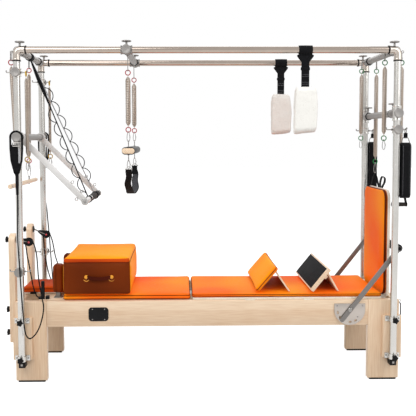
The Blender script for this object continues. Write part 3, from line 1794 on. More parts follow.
@dataclass
class PushBar:
    """The push-through bar: its axle, two flat arms, the handle with its grip, and the safety sling."""

    shop: Workshop
    hardware: Hardware
    axle_x: float = -TOWER_X
    tower: float = TOWER_Z
    reach: float = 0.559
    drop_angle: float = 45.0
    arm_width: float = 0.036
    arm_inner: float = 0.309
    arm_outer: float = 0.321
    handle: float = 0.017
    handle_half: float = 0.335
    cap: float = 0.022
    grip_low: float = -0.07
    grip_high: float = 0.296
    grip: float = 0.0205
    upright_y: float = TOWER_Y
    sleeve_half: float = 0.028
    sling_half: float = 0.03
    sling_leg: float = 0.155
    sling_thickness: float = 0.005
    scallop: float = 0.098
    scallop_depth: float = 0.031
    fold_share: float = 0.36
    rear_lace_share: float = 0.2
    ribs: int = 18

    @property
    def axle(self) -> Vector:
        """The middle of the axle."""
        return xyz(self.axle_x, 0, middle("push_bar_axle").z)

    @property
    def hold(self) -> Vector:
        """The middle of the handle."""
        angle = math.radians(self.drop_angle)
        return self.axle + xyz(math.cos(angle), 0, -math.sin(angle)) * self.reach

    def build(self) -> None:
        """Build the push bar's pieces."""
        self.axle_tube()
        self.arms()
        self.handle_and_grip()
        self.sling()

    def axle_tube(self) -> None:
        """Build the cast axle between its two clamps."""
        axle, tube = self.axle, self.hardware.tube
        reach = xyz(0, self.upright_y - tube - 0.001, 0)
        parts = [Form.rod(axle - reach, axle + reach, tube, 48)]
        collars = []
        for side in Side:
            s = side.value
            centre = axle + xyz(0, s * self.upright_y, 0)
            up = xyz(0, 0, self.sleeve_half)
            parts.append(self.hardware.clamp_sleeve(centre - up, centre + up))
            parts.append(self.hardware.disc_knob(centre + xyz(0, s * self.hardware.sleeve, 0), xyz(0, s, 0)))
            collars.append(self.hardware.black_ring(
                axle + xyz(0, s * 0.3345, 0), axle + xyz(0, s * 0.3405, 0)))
        self.shop.piece("axle_and_clamps", several(parts), "frame", CAST, nodes=["push_bar_axle"])
        self.shop.piece("axle_collars", several(collars), "frame", PLASTIC)

    def arms(self) -> None:
        """Build the two flat white arms, their hubs and the small eyes near the handle."""
        axle, hold = self.axle, self.hold
        along = (hold - axle).normalized()
        across = xyz(-along.z, 0, along.x)
        parts, eyes, bolts = [], [], []
        out = self.arm_inner + (self.arm_outer - self.arm_inner) / 2
        for side in Side:
            s = side.value
            parts.append(Form.plate(
                slot_outline(
                    (hold.x, hold.z), (axle.x + along.x * 0.026, axle.z + along.z * 0.026), self.arm_width,
                    12),
                Axis.Y, s * self.arm_inner, s * self.arm_outer, edge=0.0015))
            parts.append(Form.pipe(
                axle + xyz(0, s * 0.297, 0), axle + xyz(0, s * 0.333, 0), 0.03, self.hardware.tube + PLAY, 44,
                0.0016))
            for back in (0.058, 0.14):
                foot = hold - along * back + across * (self.arm_width / 2) + xyz(0, s * out, 0)
                eyes.append(Form.ring(foot + across * 0.0105, Axis.Y, 0.009, 0.0023, steps=24))
                eyes.append(Form.rod(foot - across * 0.002, foot + across * 0.0025, 0.005, 18, 0.0008))
            if side is Side.FRONT:
                foot = hold - along * 0.045 - across * (self.arm_width / 2) + xyz(0, s * out, 0)
                eyes.append(Form.ring(
                    foot - across * 0.0115 - along * 0.004, Axis.Y, 0.009, 0.0025, steps=24))
            bolts.append(self.hardware.nut(
                hold + xyz(0, s * (self.handle_half + 0.0092), 0), xyz(0, s, 0), 0.008, 0.004))
        self.shop.piece("push_bar_arms", several(parts), "push_bar", ARM, nodes=["push_bar"])
        self.shop.piece("push_bar_eyes", several(eyes + bolts), "push_bar", BRIGHT)

    def handle_and_grip(self) -> None:
        """Build the round handle, its end caps and the ribbed foam grip."""
        hold = self.hold
        half = xyz(0, self.handle_half, 0)
        bar = Form.rod(hold - half, hold + half, self.handle, 40, 0.001)
        self.shop.piece("push_bar_handle", bar, "push_bar", ARM)
        caps = []
        for side in Side:
            start = hold + half * side.value
            caps.append(Form.turned([
                (0, 0), (self.cap - 0.001, 0), (self.cap, 0.001), (self.cap, 0.007),
                (self.cap - 0.003, 0.0098), (0.012, 0.0098), (0.011, 0.0088), (0, 0.0088),
            ], start, (0, side.value, 0), 40))
        self.shop.piece("push_bar_caps", several(caps), "push_bar", ARM_CAP)
        inner = self.handle + GAP
        length = self.grip_high - self.grip_low
        profile = [(inner, 0.0), (self.grip - 0.0015, 0.0), (self.grip, 0.002)]
        for i in range(self.ribs):
            start = 0.004 + (length - 0.008) * i / self.ribs
            step = (length - 0.008) / self.ribs
            profile += [(self.grip, start + step * 0.1), (self.grip, start + step * 0.8),
                        (self.grip - 0.0011, start + step * 0.9)]
        profile += [(self.grip, length - 0.002), (self.grip - 0.0015, length), (inner, length)]
        grip = Form.turned(profile, hold + xyz(0, self.grip_low, 0), (0, 1, 0), 36, hollow=True)
        self.shop.piece("foam_grip", grip, "push_bar", FOAM, nodes=["push_bar_grip"])

    def sling(self) -> None:
        """Build the safety sling: the wrap round the crossbar, and two laced legs down to the handle."""
        top = xyz(self.axle_x, 0, self.tower)
        hold = self.hold
        way = (hold - top).normalized()
        side_way = xyz(-way.z, 0, way.x)
        wrap = self.hardware.tube + PLAY
        self.shop.piece(
            "sling_wrap",
            Form.pipe(
                top - xyz(0, self.sling_half, 0), top + xyz(0, self.sling_half, 0),
                wrap + self.sling_thickness, wrap, 40, 0.0012),
            "frame", WEB)
        for side in Side:
            s = side.value
            gripped = s * self.sling_leg > self.grip_low
            inner = (self.grip if gripped else self.handle) + PLAY
            centre = hold + xyz(0, s * self.sling_leg, 0)
            half = xyz(0, 0.017, 0)
            self.shop.piece(
                f"sling_hitch_{side.label}",
                Form.pipe(centre - half, centre + half, inner + self.sling_thickness, inner, 36, 0.0012),
                "push_bar", WEB)
            start = top + xyz(0, s * 0.014, 0) + way * (wrap + self.sling_thickness * 0.4)
            stop = centre - way * (inner + self.sling_thickness * 0.4)
            self.sling_leg_piece(side, start, stop, side_way)

    def sling_leg_piece(self, side: Side, start: Vector, stop: Vector, side_way: Vector) -> None:
        """Build one leg of the sling, thick where it is folded near the top, with its looped lacing.

        Args:
            side: The side that the leg is on.
            start: Its top end.
            stop: Its foot.
            side_way: A direction across the leg, in the plane of the push bar's swing.
        """
        leg = stop - start
        length = leg.length
        web = Form.strap(start, stop, 0.022, 0.0045, xyz(0, 1, 0)).cut_across(start, stop, 36)
        if side is Side.FRONT:
            fold = Form.strap(start, start + leg * self.fold_share, 0.034, 0.017, xyz(0, 1, 0))
            fold.cut_across(start, start + leg * self.fold_share, 14)
            web.joined(fold.shaped(self.gather(start, leg)))
        outward = side_way * (-1 if side is Side.FRONT else 1)
        if outward.x * side.value < 0:
            outward = -outward
        first = self.fold_share if side is Side.FRONT else self.rear_lace_share
        loops = int(length * (0.97 - first) / self.scallop)
        points = []
        for i in range(loops * 10 + 1):
            run = i / 10
            along = first * length + run * self.scallop
            swell = abs(math.sin(math.pi * run)) ** 0.7
            points.append(start + leg.normalized() * along + outward * (0.003 + self.scallop_depth * swell))
        lace = Form.wire(points, 0.0029, 8)
        knots = []
        for i in range(loops + 1):
            along = first * length + i * self.scallop
            spot = start + leg.normalized() * along
            knots.append(Form.rod(
                spot - leg.normalized() * 0.006 + outward * 0.003,
                spot + leg.normalized() * 0.006 + outward * 0.003, 0.0048, 12, 0.001))
        cords = several([lace, *knots])
        web.joined(cords.painted(1, lambda face: True))
        thing = self.shop.object(
            f"sling_leg_{side.label}", web, WEB if side is Side.FRONT else PALE_WEB, WEB)
        self.shop.declare(thing, "", WEB.slot, ["safety_sling"])
        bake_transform(thing)

    def gather(self, start: Vector, leg: Vector) -> Callable[[Vector], Vector]:
        """Return a move that thins the folded web towards both of its ends and ruffles it.

        Args:
            start: Where the leg starts.
            leg: The run of the whole leg.

        Returns:
            The move for a point of the fold.
        """
        length, way = leg.length, leg.normalized()

        def move(place: Vector) -> Vector:
            """Draw a point in to the leg's middle line.

            Args:
                place: The point.

            Returns:
                Its new place.
            """
            run = (place - start).dot(way)
            share = min(1.0, max(0.0, run / (self.fold_share * length)))
            middle_point = start + way * run
            swell = 0.45 + 0.75 * math.sin(math.pi * min(1.0, share * 1.05)) ** 1.5
            ruffle = noise.noise_vector(place * 60) * 0.0016
            return middle_point + (place - middle_point) * swell + ruffle

        return move


@dataclass
class RollDown:
    """The roll-down bar on two springs at the head end, and the arm springs on the hook rods."""

    shop: Workshop
    hardware: Hardware
    x: float = -1.2
    eye_height: float = EYE_Z
    bar: float = 0.014
    front_end: float = -0.385
    rear_end: float = 0.37
    hangs: tuple[Pair, ...] = ((-0.3, -0.17), (0.207, 0.15))
    arm_x: float = -1.0943
    arm_y: float = TOWER_Y
    arm_height: float = HEAD_HOOK_Z
    arm_drop: float = 0.59

    def build(self) -> None:
        """Build the bar and the springs."""
        z = self.bar_height
        dowel = Form.turned([
            (0, 0), (self.bar - 0.003, 0), (self.bar, 0.003), (self.bar, self.length - 0.003),
            (self.bar - 0.003, self.length), (0, self.length),
        ], xyz(self.x, self.front_end, z), (0, 1, 0), 40)
        self.shop.piece("roll_down_dowel", dowel, "roll_down", MAPLE_WIDE, nodes=["roll_down_bar"])
        fittings = []
        for _, y in self.hangs:
            low = xyz(self.x, y, z + self.bar)
            fittings.append(self.hardware.eye_ring(low))
            fittings.append(Form.rod(low - xyz(0, 0, 0.004), low + xyz(0, 0, 0.001), 0.005, 18, 0.0008))
            fittings.append(self.hardware.nut(
                low - xyz(0, 0, 2 * self.bar + 0.0005), xyz(0, 0, -1), 0.0055, 0.004))
        self.shop.piece("roll_down_eyes", several(fittings), "roll_down", BRIGHT)
        reach = 2 * self.hardware.eye - (2 * self.hardware.eye_wire + GAP)
        for side, (top_y, low_y) in zip(Side, self.hangs):
            Spring(
                self.shop, self.hardware, f"roll_down_{side.label}", "roll_down",
                f"roll_down_spring_{side.label}", xyz(self.x, top_y, self.eye_height),
                xyz(self.x, low_y, z + self.bar + reach), 0.026, 0.096, RED).build()
            top = xyz(self.arm_x, side.value * self.arm_y, self.arm_height)
            Spring(
                self.shop, self.hardware, f"arm_{side.label}", f"arm_spring_{side.label}",
                f"arm_spring_{side.label}", top, top - xyz(0, 0, self.arm_drop), 0.021, 0.052, YELLOW,
                on_rod=True).build()

    @property
    def length(self) -> float:
        """The dowel's length."""
        return self.rear_end - self.front_end

    @property
    def bar_height(self) -> float:
        """The height of the dowel's axis, from the top of its node's eyes."""
        eye_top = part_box("roll_down_bar")[1].z - self.hardware.eye_wire
        return eye_top - 2 * self.hardware.eye - self.bar


@dataclass
class Trapeze:
    """The trolley crossbar on the top rails, with the padded trapeze bar and its sling on two springs."""

    shop: Workshop
    hardware: Hardware
    height: float = TOWER_Z
    rail_y: float = TOWER_Y
    hang: float = 0.277
    eye: float = 1.934
    sleeve_half: float = 0.035
    bar_height: float = 1.444
    bar_width: float = 0.08
    bar_depth: float = 0.046
    bar_half: float = 0.305
    stem: float = 0.021
    core_depth: float = 0.034
    sling_low: float = 1.1605
    sling_rise: float = 0.1695
    sling_end: float = 1.33

    @property
    def x(self) -> float:
        """Where the trolley stands along the bed."""
        return middle("trolley_crossbar").x

    def build(self) -> None:
        """Build the trolley, the springs, the bar and the sling."""
        self.trolley()
        for side in Side:
            top = xyz(self.x, side.value * self.hang, self.eye)
            low = self.bar_height + self.bar_depth / 2 + self.stem + 2 * self.hardware.eye - 0.0053
            Spring(
                self.shop, self.hardware, f"trapeze_{side.label}", "trapeze", f"trapeze_spring_{side.label}",
                top, xyz(top.x, top.y, low), 0.033, 0.058, RED).build()
        self.bar()
        self.sling()

    def trolley(self) -> None:
        """Build the crossbar with its rail sleeves, knobs and hanging eyes."""
        x, tube = self.x, self.hardware.tube
        reach = self.rail_y - tube - 0.001
        parts = [Form.rod(xyz(x, -reach, self.height), xyz(x, reach, self.height), tube, 48)]
        rings, eyes = [], []
        for side in Side:
            s = side.value
            y = s * self.rail_y
            parts.append(self.hardware.clamp_sleeve(
                xyz(x - self.sleeve_half, y, self.height), xyz(x + self.sleeve_half, y, self.height)))
            parts.append(Form.rod(
                xyz(x, s * (reach - 0.026), self.height), xyz(x, s * reach, self.height), tube + 0.004, 40,
                0.0015))
            parts.append(self.hardware.disc_knob(
                xyz(x, y + s * self.hardware.sleeve, self.height), xyz(0, s, 0)))
            parts.append(self.hardware.top_knob(xyz(x, y, self.height + self.hardware.sleeve)))
            rings.append(self.hardware.black_ring(
                xyz(x, s * (reach - 0.034), self.height), xyz(x, s * (reach - 0.0265), self.height)))
            low = xyz(x, s * self.hang, self.eye)
            eyes.append(self.hardware.eye_ring(low))
            eyes.append(Form.rod(
                xyz(x, s * self.hang, self.height - tube + 0.001),
                low + xyz(0, 0, 2 * self.hardware.eye - 0.001), 0.0027, 16))
            eyes.append(self.hardware.nut(
                xyz(x, s * self.hang, self.height - tube + 0.0008), xyz(0, 0, -1), 0.0065, 0.005))
        self.shop.piece("trolley_and_clamps", several(parts), "trolley", CAST, nodes=["trolley_crossbar"])
        self.shop.piece("trolley_collars", several(rings), "trolley", PLASTIC)
        self.shop.piece("trolley_eyes", several(eyes), "trolley", BRIGHT)

    def bar(self) -> None:
        """Build the trapeze bar: a wooden core in a black pad, with eyes above and below."""
        x, z = self.x, self.bar_height
        half_w, half_d, core = self.bar_width / 2, self.bar_depth / 2, self.core_depth / 2
        pad = Form.plate(
            rounded_rectangle(x - half_w, x + half_w, z - half_d, z + half_d, 0.02, 6), Axis.Y,
            -self.bar_half + 0.004, self.bar_half - 0.052, edge=0.003, segments=3)
        self.shop.piece("trapeze_bar_pad", pad, "trapeze", PLASTIC, nodes=["trapeze_bar"])
        face = Form.plate(
            rounded_rectangle(x - half_w + 0.0015, x + half_w - 0.0015, z - core, z + core, core - 0.001, 6),
            Axis.Y, -self.bar_half, -self.bar_half + 0.006, edge=0.0012)
        self.shop.piece("trapeze_bar_core", face, "trapeze", MAPLE_WIDE)
        cap = Form.plate(
            rounded_rectangle(x - half_w, x + half_w, z - half_d, z + half_d, 0.021, 6), Axis.Y,
            self.bar_half - 0.044, self.bar_half, edge=0.004, segments=3)
        self.shop.piece("trapeze_bar_end", cap, "trapeze", ARM_CAP)
        neck = Form.plate(
            rounded_rectangle(
                x - half_w + 0.003, x + half_w - 0.003, z - half_d + 0.003, z + half_d - 0.003, 0.018, 6),
            Axis.Y, self.bar_half - 0.054, self.bar_half - 0.042)
        self.shop.piece("trapeze_bar_neck", neck, "trapeze", RUBBER)
        eyes = []
        for side in Side:
            y = side.value * self.hang
            for way in (1, -1):
                foot = xyz(x, y, z + way * half_d)
                low = foot.z + self.stem if way > 0 else foot.z - self.stem - 2 * self.hardware.eye
                eyes.append(self.hardware.eye_ring(xyz(x, y, low)))
                eyes.append(Form.rod(
                    foot - xyz(0, 0, way * 0.002), foot + xyz(0, 0, way * (self.stem + 0.001)), 0.0027, 16))
                eyes.append(self.hardware.nut(foot - xyz(0, 0, way * 0.0005), xyz(0, 0, way), 0.007, 0.005))
        self.shop.piece("trapeze_bar_eyes", several(eyes), "trapeze", BRIGHT)

    def sling(self) -> None:
        """Build the sling belt that hangs in a deep loop from the bar's lower eyes."""
        x = self.x
        steps = 40
        line, lining = [], []
        for i in range(steps + 1):
            share = 2 * i / steps - 1
            y, z = self.hang * share, self.sling_low + self.sling_rise * share * share
            slope = math.atan2(2 * self.sling_rise * share, self.hang)
            line.append((y, z))
            lining.append((y - math.sin(slope) * 0.0043, z + math.cos(slope) * 0.0043))
        half = 0.025
        belt = Form.band(line, Axis.X, x - half, x + half, 0.0068)
        belt.rounded(0.0012, 1, 60)
        belt.shaped(self.bunch)
        self.shop.piece("sling_belt", belt, "trapeze", WEB, nodes=["trapeze_sling"])
        inner = Form.band(lining[4:-4], Axis.X, x - half + 0.006, x + half - 0.006, 0.0014)
        self.shop.piece("sling_lining", inner.shaped(self.bunch), "trapeze", LINING)
        fittings, folds = [], []
        link_top = self.bar_height - self.bar_depth / 2 - self.stem - 2 * self.hardware.eye + 0.0053
        for side in Side:
            y = side.value * self.hang
            fittings.append(self.hardware.snap_hook(xyz(x, y, link_top), link_top - self.sling_end - 0.004))
            bar_line = [
                xyz(x - 0.024, y, self.sling_end), xyz(x + 0.024, y, self.sling_end),
                xyz(x, y, self.sling_end + 0.018),
            ]
            fittings.append(Form.wire(filleted([*bar_line, bar_line[0]], 0.005), 0.0022, 8))
            slope = math.atan2(2 * self.sling_rise, self.hang)
            run = xyz(0, -side.value * math.cos(slope), -math.sin(slope))
            folds.append(Form.strap(
                xyz(x, y, self.sling_end - 0.001), xyz(x, y, self.sling_end - 0.001) + run * 0.07, 0.036,
                0.0115, xyz(1, 0, 0)))
        self.shop.piece("sling_links", several(fittings), "trapeze", BRIGHT)
        self.shop.piece("sling_folds", several(folds), "trapeze", WEB)

    def bunch(self, place: Vector) -> Vector:
        """Narrow the belt towards its links, lean its two halves apart and crease it.

        Args:
            place: A point of the belt.

        Returns:
            Its new place.
        """
        share = place.y / self.hang
        place.x = self.x + (place.x - self.x) * (1 - 0.34 * share * share)
        place.x += 0.012 * math.sin(math.pi * share) + 0.0035 * math.sin(place.z * 70)
        return place


@dataclass
class FootEnd:
    """The sliding crossbar, the leg springs and the foot loops at the foot end."""

    shop: Workshop
    hardware: Hardware
    x: float = TOWER_X
    y: float = TOWER_Y
    hang: float = 0.28
    spring_offset: float = 0.052
    eye_height: float = EYE_Z
    short_drop: float = 0.545
    sleeve_half: float = 0.045
    handle_drop: float = 0.17
    loop_x: float = 1.2057
    hook_height: float = FOOT_HOOK_Z
    loop_top: float = 1.492
    loop_bottom: float = 1.152
    loop_half: float = 0.032
    loop_wall: float = 0.009
    loop_width: float = 0.055

    def build(self) -> None:
        """Build the foot end's pieces."""
        self.sliding_bar()
        for side in Side:
            self.leg_springs(side)
            self.foot_loop(side)

    def sliding_bar(self) -> None:
        """Build the sliding crossbar with its clamps, collars and knobs."""
        z = middle("sliding_crossbar").z
        tube = self.hardware.tube
        reach = self.y - tube - 0.001
        parts = [Form.rod(xyz(self.x, -reach, z), xyz(self.x, reach, z), tube, 48)]
        rings, sleeves = [], []
        for side in Side:
            s = side.value
            sleeves.append(self.hardware.clamp_sleeve(
                xyz(self.x, s * self.y, z - self.sleeve_half), xyz(self.x, s * self.y, z + self.sleeve_half)))
            parts.append(Form.rod(xyz(self.x, s * 0.27, z), xyz(self.x, s * 0.343, z), 0.0255, 40, 0.002))
            parts.append(self.hardware.disc_knob(
                xyz(self.x, s * (self.y + self.hardware.sleeve), z), xyz(0, s, 0)))
            parts.append(self.hardware.top_knob(xyz(self.x, s * 0.292, z + 0.0255), 0.03))
            rings.append(self.hardware.black_ring(xyz(self.x, s * 0.262, z), xyz(self.x, s * 0.27, z)))
        self.shop.piece(
            "sliding_bar_and_clamps", several(parts), "sliding_crossbar", CAST, nodes=["sliding_crossbar"])
        self.shop.piece("sliding_bar_sleeves", several(sleeves), "sliding_crossbar", SATIN)
        self.shop.piece("sliding_bar_collars", several(rings), "sliding_crossbar", PLASTIC)

    def leg_springs(self, side: Side) -> None:
        """Build a side's short spring and its long spring with the strap handle.

        Args:
            side: The side of the table.
        """
        y = side.value * self.hang
        top = xyz(self.x - self.spring_offset, y, self.eye_height)
        name = f"leg_spring_short_{side.label}"
        Spring(
            self.shop, self.hardware, name, name, name, top, top - xyz(0, 0, self.short_drop), 0.029, 0.055,
            GREEN).build()
        name = f"leg_spring_long_{side.label}"
        top = xyz(self.x + self.spring_offset, y, self.eye_height)
        tube_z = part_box(name)[0].z + 0.014
        low = xyz(top.x, y, tube_z + self.handle_drop)
        Spring(self.shop, self.hardware, name, name, name, top, low, 0.029, 0.066, GREEN).build()
        half = 0.048
        centre = xyz(top.x, y, tube_z)
        ends = xyz(half, 0, 0)
        grip = Form.turned([
            (0, 0), (0.0125, 0), (0.014, 0.0015), (0.0132, 0.006), (0.0126, 0.02), (0.0134, half),
            (0.0126, 2 * half - 0.02), (0.0132, 2 * half - 0.006), (0.014, 2 * half - 0.0015),
            (0.0125, 2 * half), (0, 2 * half),
        ], centre - ends, (1, 0, 0), 32)
        self.shop.piece(f"{name}_grip", grip, name, FOAM)
        line = filleted([
            xyz(top.x - half + 0.004, y, tube_z), xyz(top.x - 0.012, y, low.z - 0.03),
            xyz(top.x, y, low.z - 0.002), xyz(top.x + 0.012, y, low.z - 0.03),
            xyz(top.x + half - 0.004, y, tube_z),
        ], 0.012)
        straps = Form.band([(p.x, p.z) for p in line], Axis.Y, y - 0.016, y + 0.016, 0.0052)
        straps.rounded(0.0012, 1, 60)
        straps.joined(Form.box(
            (top.x - 0.015, y - 0.0175, low.z - 0.072), (top.x + 0.015, y + 0.0175, low.z - 0.026), 0.004))
        self.shop.piece(f"{name}_strap", straps, name, WEB)

    def foot_loop(self, side: Side) -> None:
        """Build a padded foot loop with its buckle, tie and hanging ring.

        Args:
            side: The side of the table.
        """
        s = side.value
        name = f"foot_loop_{side.label}"
        x, y = self.loop_x, s * self.y
        half, wall = self.loop_half, self.loop_wall
        inset = wall / 2
        line = rounded_rectangle(
            y - half + inset, y + half - inset, self.loop_bottom + inset, self.loop_top - inset,
            half - inset - 0.0005, 8)
        loop = Form.band(line, Axis.X, x - self.loop_width / 2, x + self.loop_width / 2, wall, closed=True)
        loop.rounded(0.0028, 3, 60)
        self.shop.piece(f"{name}_padding", loop, name, WEB, nodes=[name])
        edge = [xyz(0, a, b) for a, b in line]
        sewn = []
        for way in (-1, 1):
            rim = [
                xyz(x + way * (self.loop_width / 2 - 0.006), p.y, p.z)
                for p in edge
                if p.y * s > self.y * 0.995
            ]
            rim = [p + xyz(0, s * inset * 1.02, 0) for p in rim]
            sewn.append(seam_stitches(rim, xyz(0, s, 0)))
        self.shop.piece(f"{name}_stitches", several(sewn), name, THREAD)
        ring, wire = self.hardware.ring, self.hardware.ring_wire
        ring_z = self.hook_height - (ring - wire - self.hardware.hook_rod - GAP)
        metal = [Form.ring(xyz(x, y, ring_z), Axis.X, ring, wire, steps=36, sides=10)]
        buckle = filleted([
            xyz(x - 0.026, y, self.loop_top - 0.002), xyz(x + 0.026, y, self.loop_top - 0.002),
            xyz(x + 0.016, y, self.loop_top + 0.03), xyz(x - 0.016, y, self.loop_top + 0.03),
            xyz(x - 0.026, y, self.loop_top - 0.002),
        ], 0.006)
        metal.append(Form.wire(buckle, 0.0026, 10))
        self.shop.piece(f"{name}_buckle", several(metal), name, BRIGHT)
        tie = Form.strap(
            xyz(x, y, self.loop_top + 0.026), xyz(x, y, ring_z - 0.0125), 0.024, 0.005, xyz(1, 0, 0))
        self.shop.piece(f"{name}_tie", tie, name, WEB)


@dataclass
class FleeceCuffs:
    """Two fleece-lined hanging cuffs, each choked round a top rail."""

    shop: Workshop
    hardware: Hardware
    height: float = TOWER_Z
    rail_y: float = TOWER_Y
    wrap_half: float = 0.042
    strap_half: float = 0.024
    flare_half: float = 0.051
    cuff_half: float = 0.07
    depth: float = 0.037
    top: float = 1.832
    bottom: float = 1.55
    wall: float = 0.02
    slider: Pair = (1.93, 1.948)
    stitch_levels: tuple[float, ...] = (1.905, 1.893, 1.858, 1.846)

    def build(self) -> None:
        """Build both cuffs."""
        for side in Side:
            self.cuff(side)

    def cuff(self, side: Side) -> None:
        """Build one cuff: the choke wrap, the tapering strap with its slider, and the fleece loop.

        Args:
            side: The side of the table.
        """
        name = f"fleece_cuff_{side.label}"
        x, y = middle(name).x, side.value * self.rail_y
        inner = self.hardware.tube + PLAY
        wrap = Form.turned(
            [
                (inner, 0), (inner + 0.005, 0.001), (inner + 0.0056, self.wrap_half),
                (inner + 0.005, 2 * self.wrap_half - 0.001), (inner, 2 * self.wrap_half),
            ], xyz(x - self.wrap_half, y, self.height), (1, 0, 0), 40, 0.0008, hollow=True)
        rail_low = self.height - inner
        outline = [
            (x - self.wrap_half, rail_low + 0.004), (x - self.wrap_half * 0.86, rail_low - 0.003),
            (x - self.flare_half, rail_low - 0.010), (x - self.flare_half * 0.98, rail_low - 0.018),
            (x - self.strap_half, rail_low - 0.052), (x - self.strap_half, self.top - 0.004),
            (x + self.strap_half, self.top - 0.004), (x + self.strap_half, rail_low - 0.052),
            (x + self.flare_half * 0.98, rail_low - 0.018), (x + self.flare_half, rail_low - 0.010),
            (x + self.wrap_half * 0.86, rail_low - 0.003), (x + self.wrap_half, rail_low + 0.004),
        ]
        web = Form.plate(outline, Axis.Y, y - 0.004, y + 0.004, edge=0.0012)
        slider = Form.box(
            (x - self.strap_half - 0.0035, y - 0.0065, self.slider[0]),
            (x + self.strap_half + 0.0035, y + 0.0065, self.slider[1]), 0.0022)
        self.shop.piece(f"{name}_strap", wrap.joined(web, slider), name, WEB)
        sewn = []
        for level in self.stitch_levels:
            sewn.append(seam_stitches([
                xyz(x - self.strap_half + 0.003, y - 0.0042, level),
                xyz(x + self.strap_half - 0.003, y - 0.0042, level),
            ], xyz(0, -1, 0), 0.0065))
        self.shop.piece(f"{name}_stitches", several(sewn), name, THREAD)
        self.fleece(name, x, y)

    def fleece(self, name: str, x: float, y: float) -> None:
        """Build the fleece loop: a soft thick band whose lower end hangs a little aslant.

        Args:
            name: The cuff's node.
            x: Its place along the bed.
            y: Its place across the bed.
        """
        half, wall = self.depth, self.wall
        outline = rounded_rectangle(y - half, y + half, self.bottom, self.top, half - 0.001, 8)
        hole = rounded_rectangle(
            y - half + wall, y + half - wall, self.bottom + wall, self.top - wall, half - wall - 0.001, 8)
        loop = Form.plate(
            outline, Axis.X, x - self.cuff_half, x + self.cuff_half, holes=[hole[::-1]], edge=0.007,
            segments=4)
        steps = 26
        loop.sliced(Axis.X, [x - self.cuff_half + 2 * self.cuff_half * i / steps for i in range(1, steps)])
        loop.sliced(Axis.Z, [self.bottom + (self.top - self.bottom) * i / 44 for i in range(1, 44)])

        def soften(place: Vector) -> Vector:
            """Round the loop's ends, let its foot hang aslant and raise the pile.

            Args:
                place: A point of the loop.

            Returns:
                Its new place.
            """
            across = (place.x - x) / self.cuff_half
            level = (place.z - self.bottom) / (self.top - self.bottom)
            edge = abs(across) ** 6
            place.z += 0.006 * across * (1 - level) - 0.008 * edge * (level - 0.5)
            place.y += (y - place.y) * 0.12 * edge
            place.x = x + (place.x - x) * (
                1 - 0.17 * max(0.0, level * 2.2 - 1.2) ** 2 - 0.05 * (1 - level) ** 3)
            place.x += 0.004 * math.sin(level * 3 + self.wall * 40 * y)
            pile = noise.noise_vector(place * 80) * 0.0012 + noise.noise_vector(place * 22) * 0.0022
            return place + pile

        loop.shaped(soften)
        self.shop.piece(
            f"{name}_fleece", loop, name, FLEECE if y < 0 else FLEECE_WORN, nodes=[name], sharp=80)


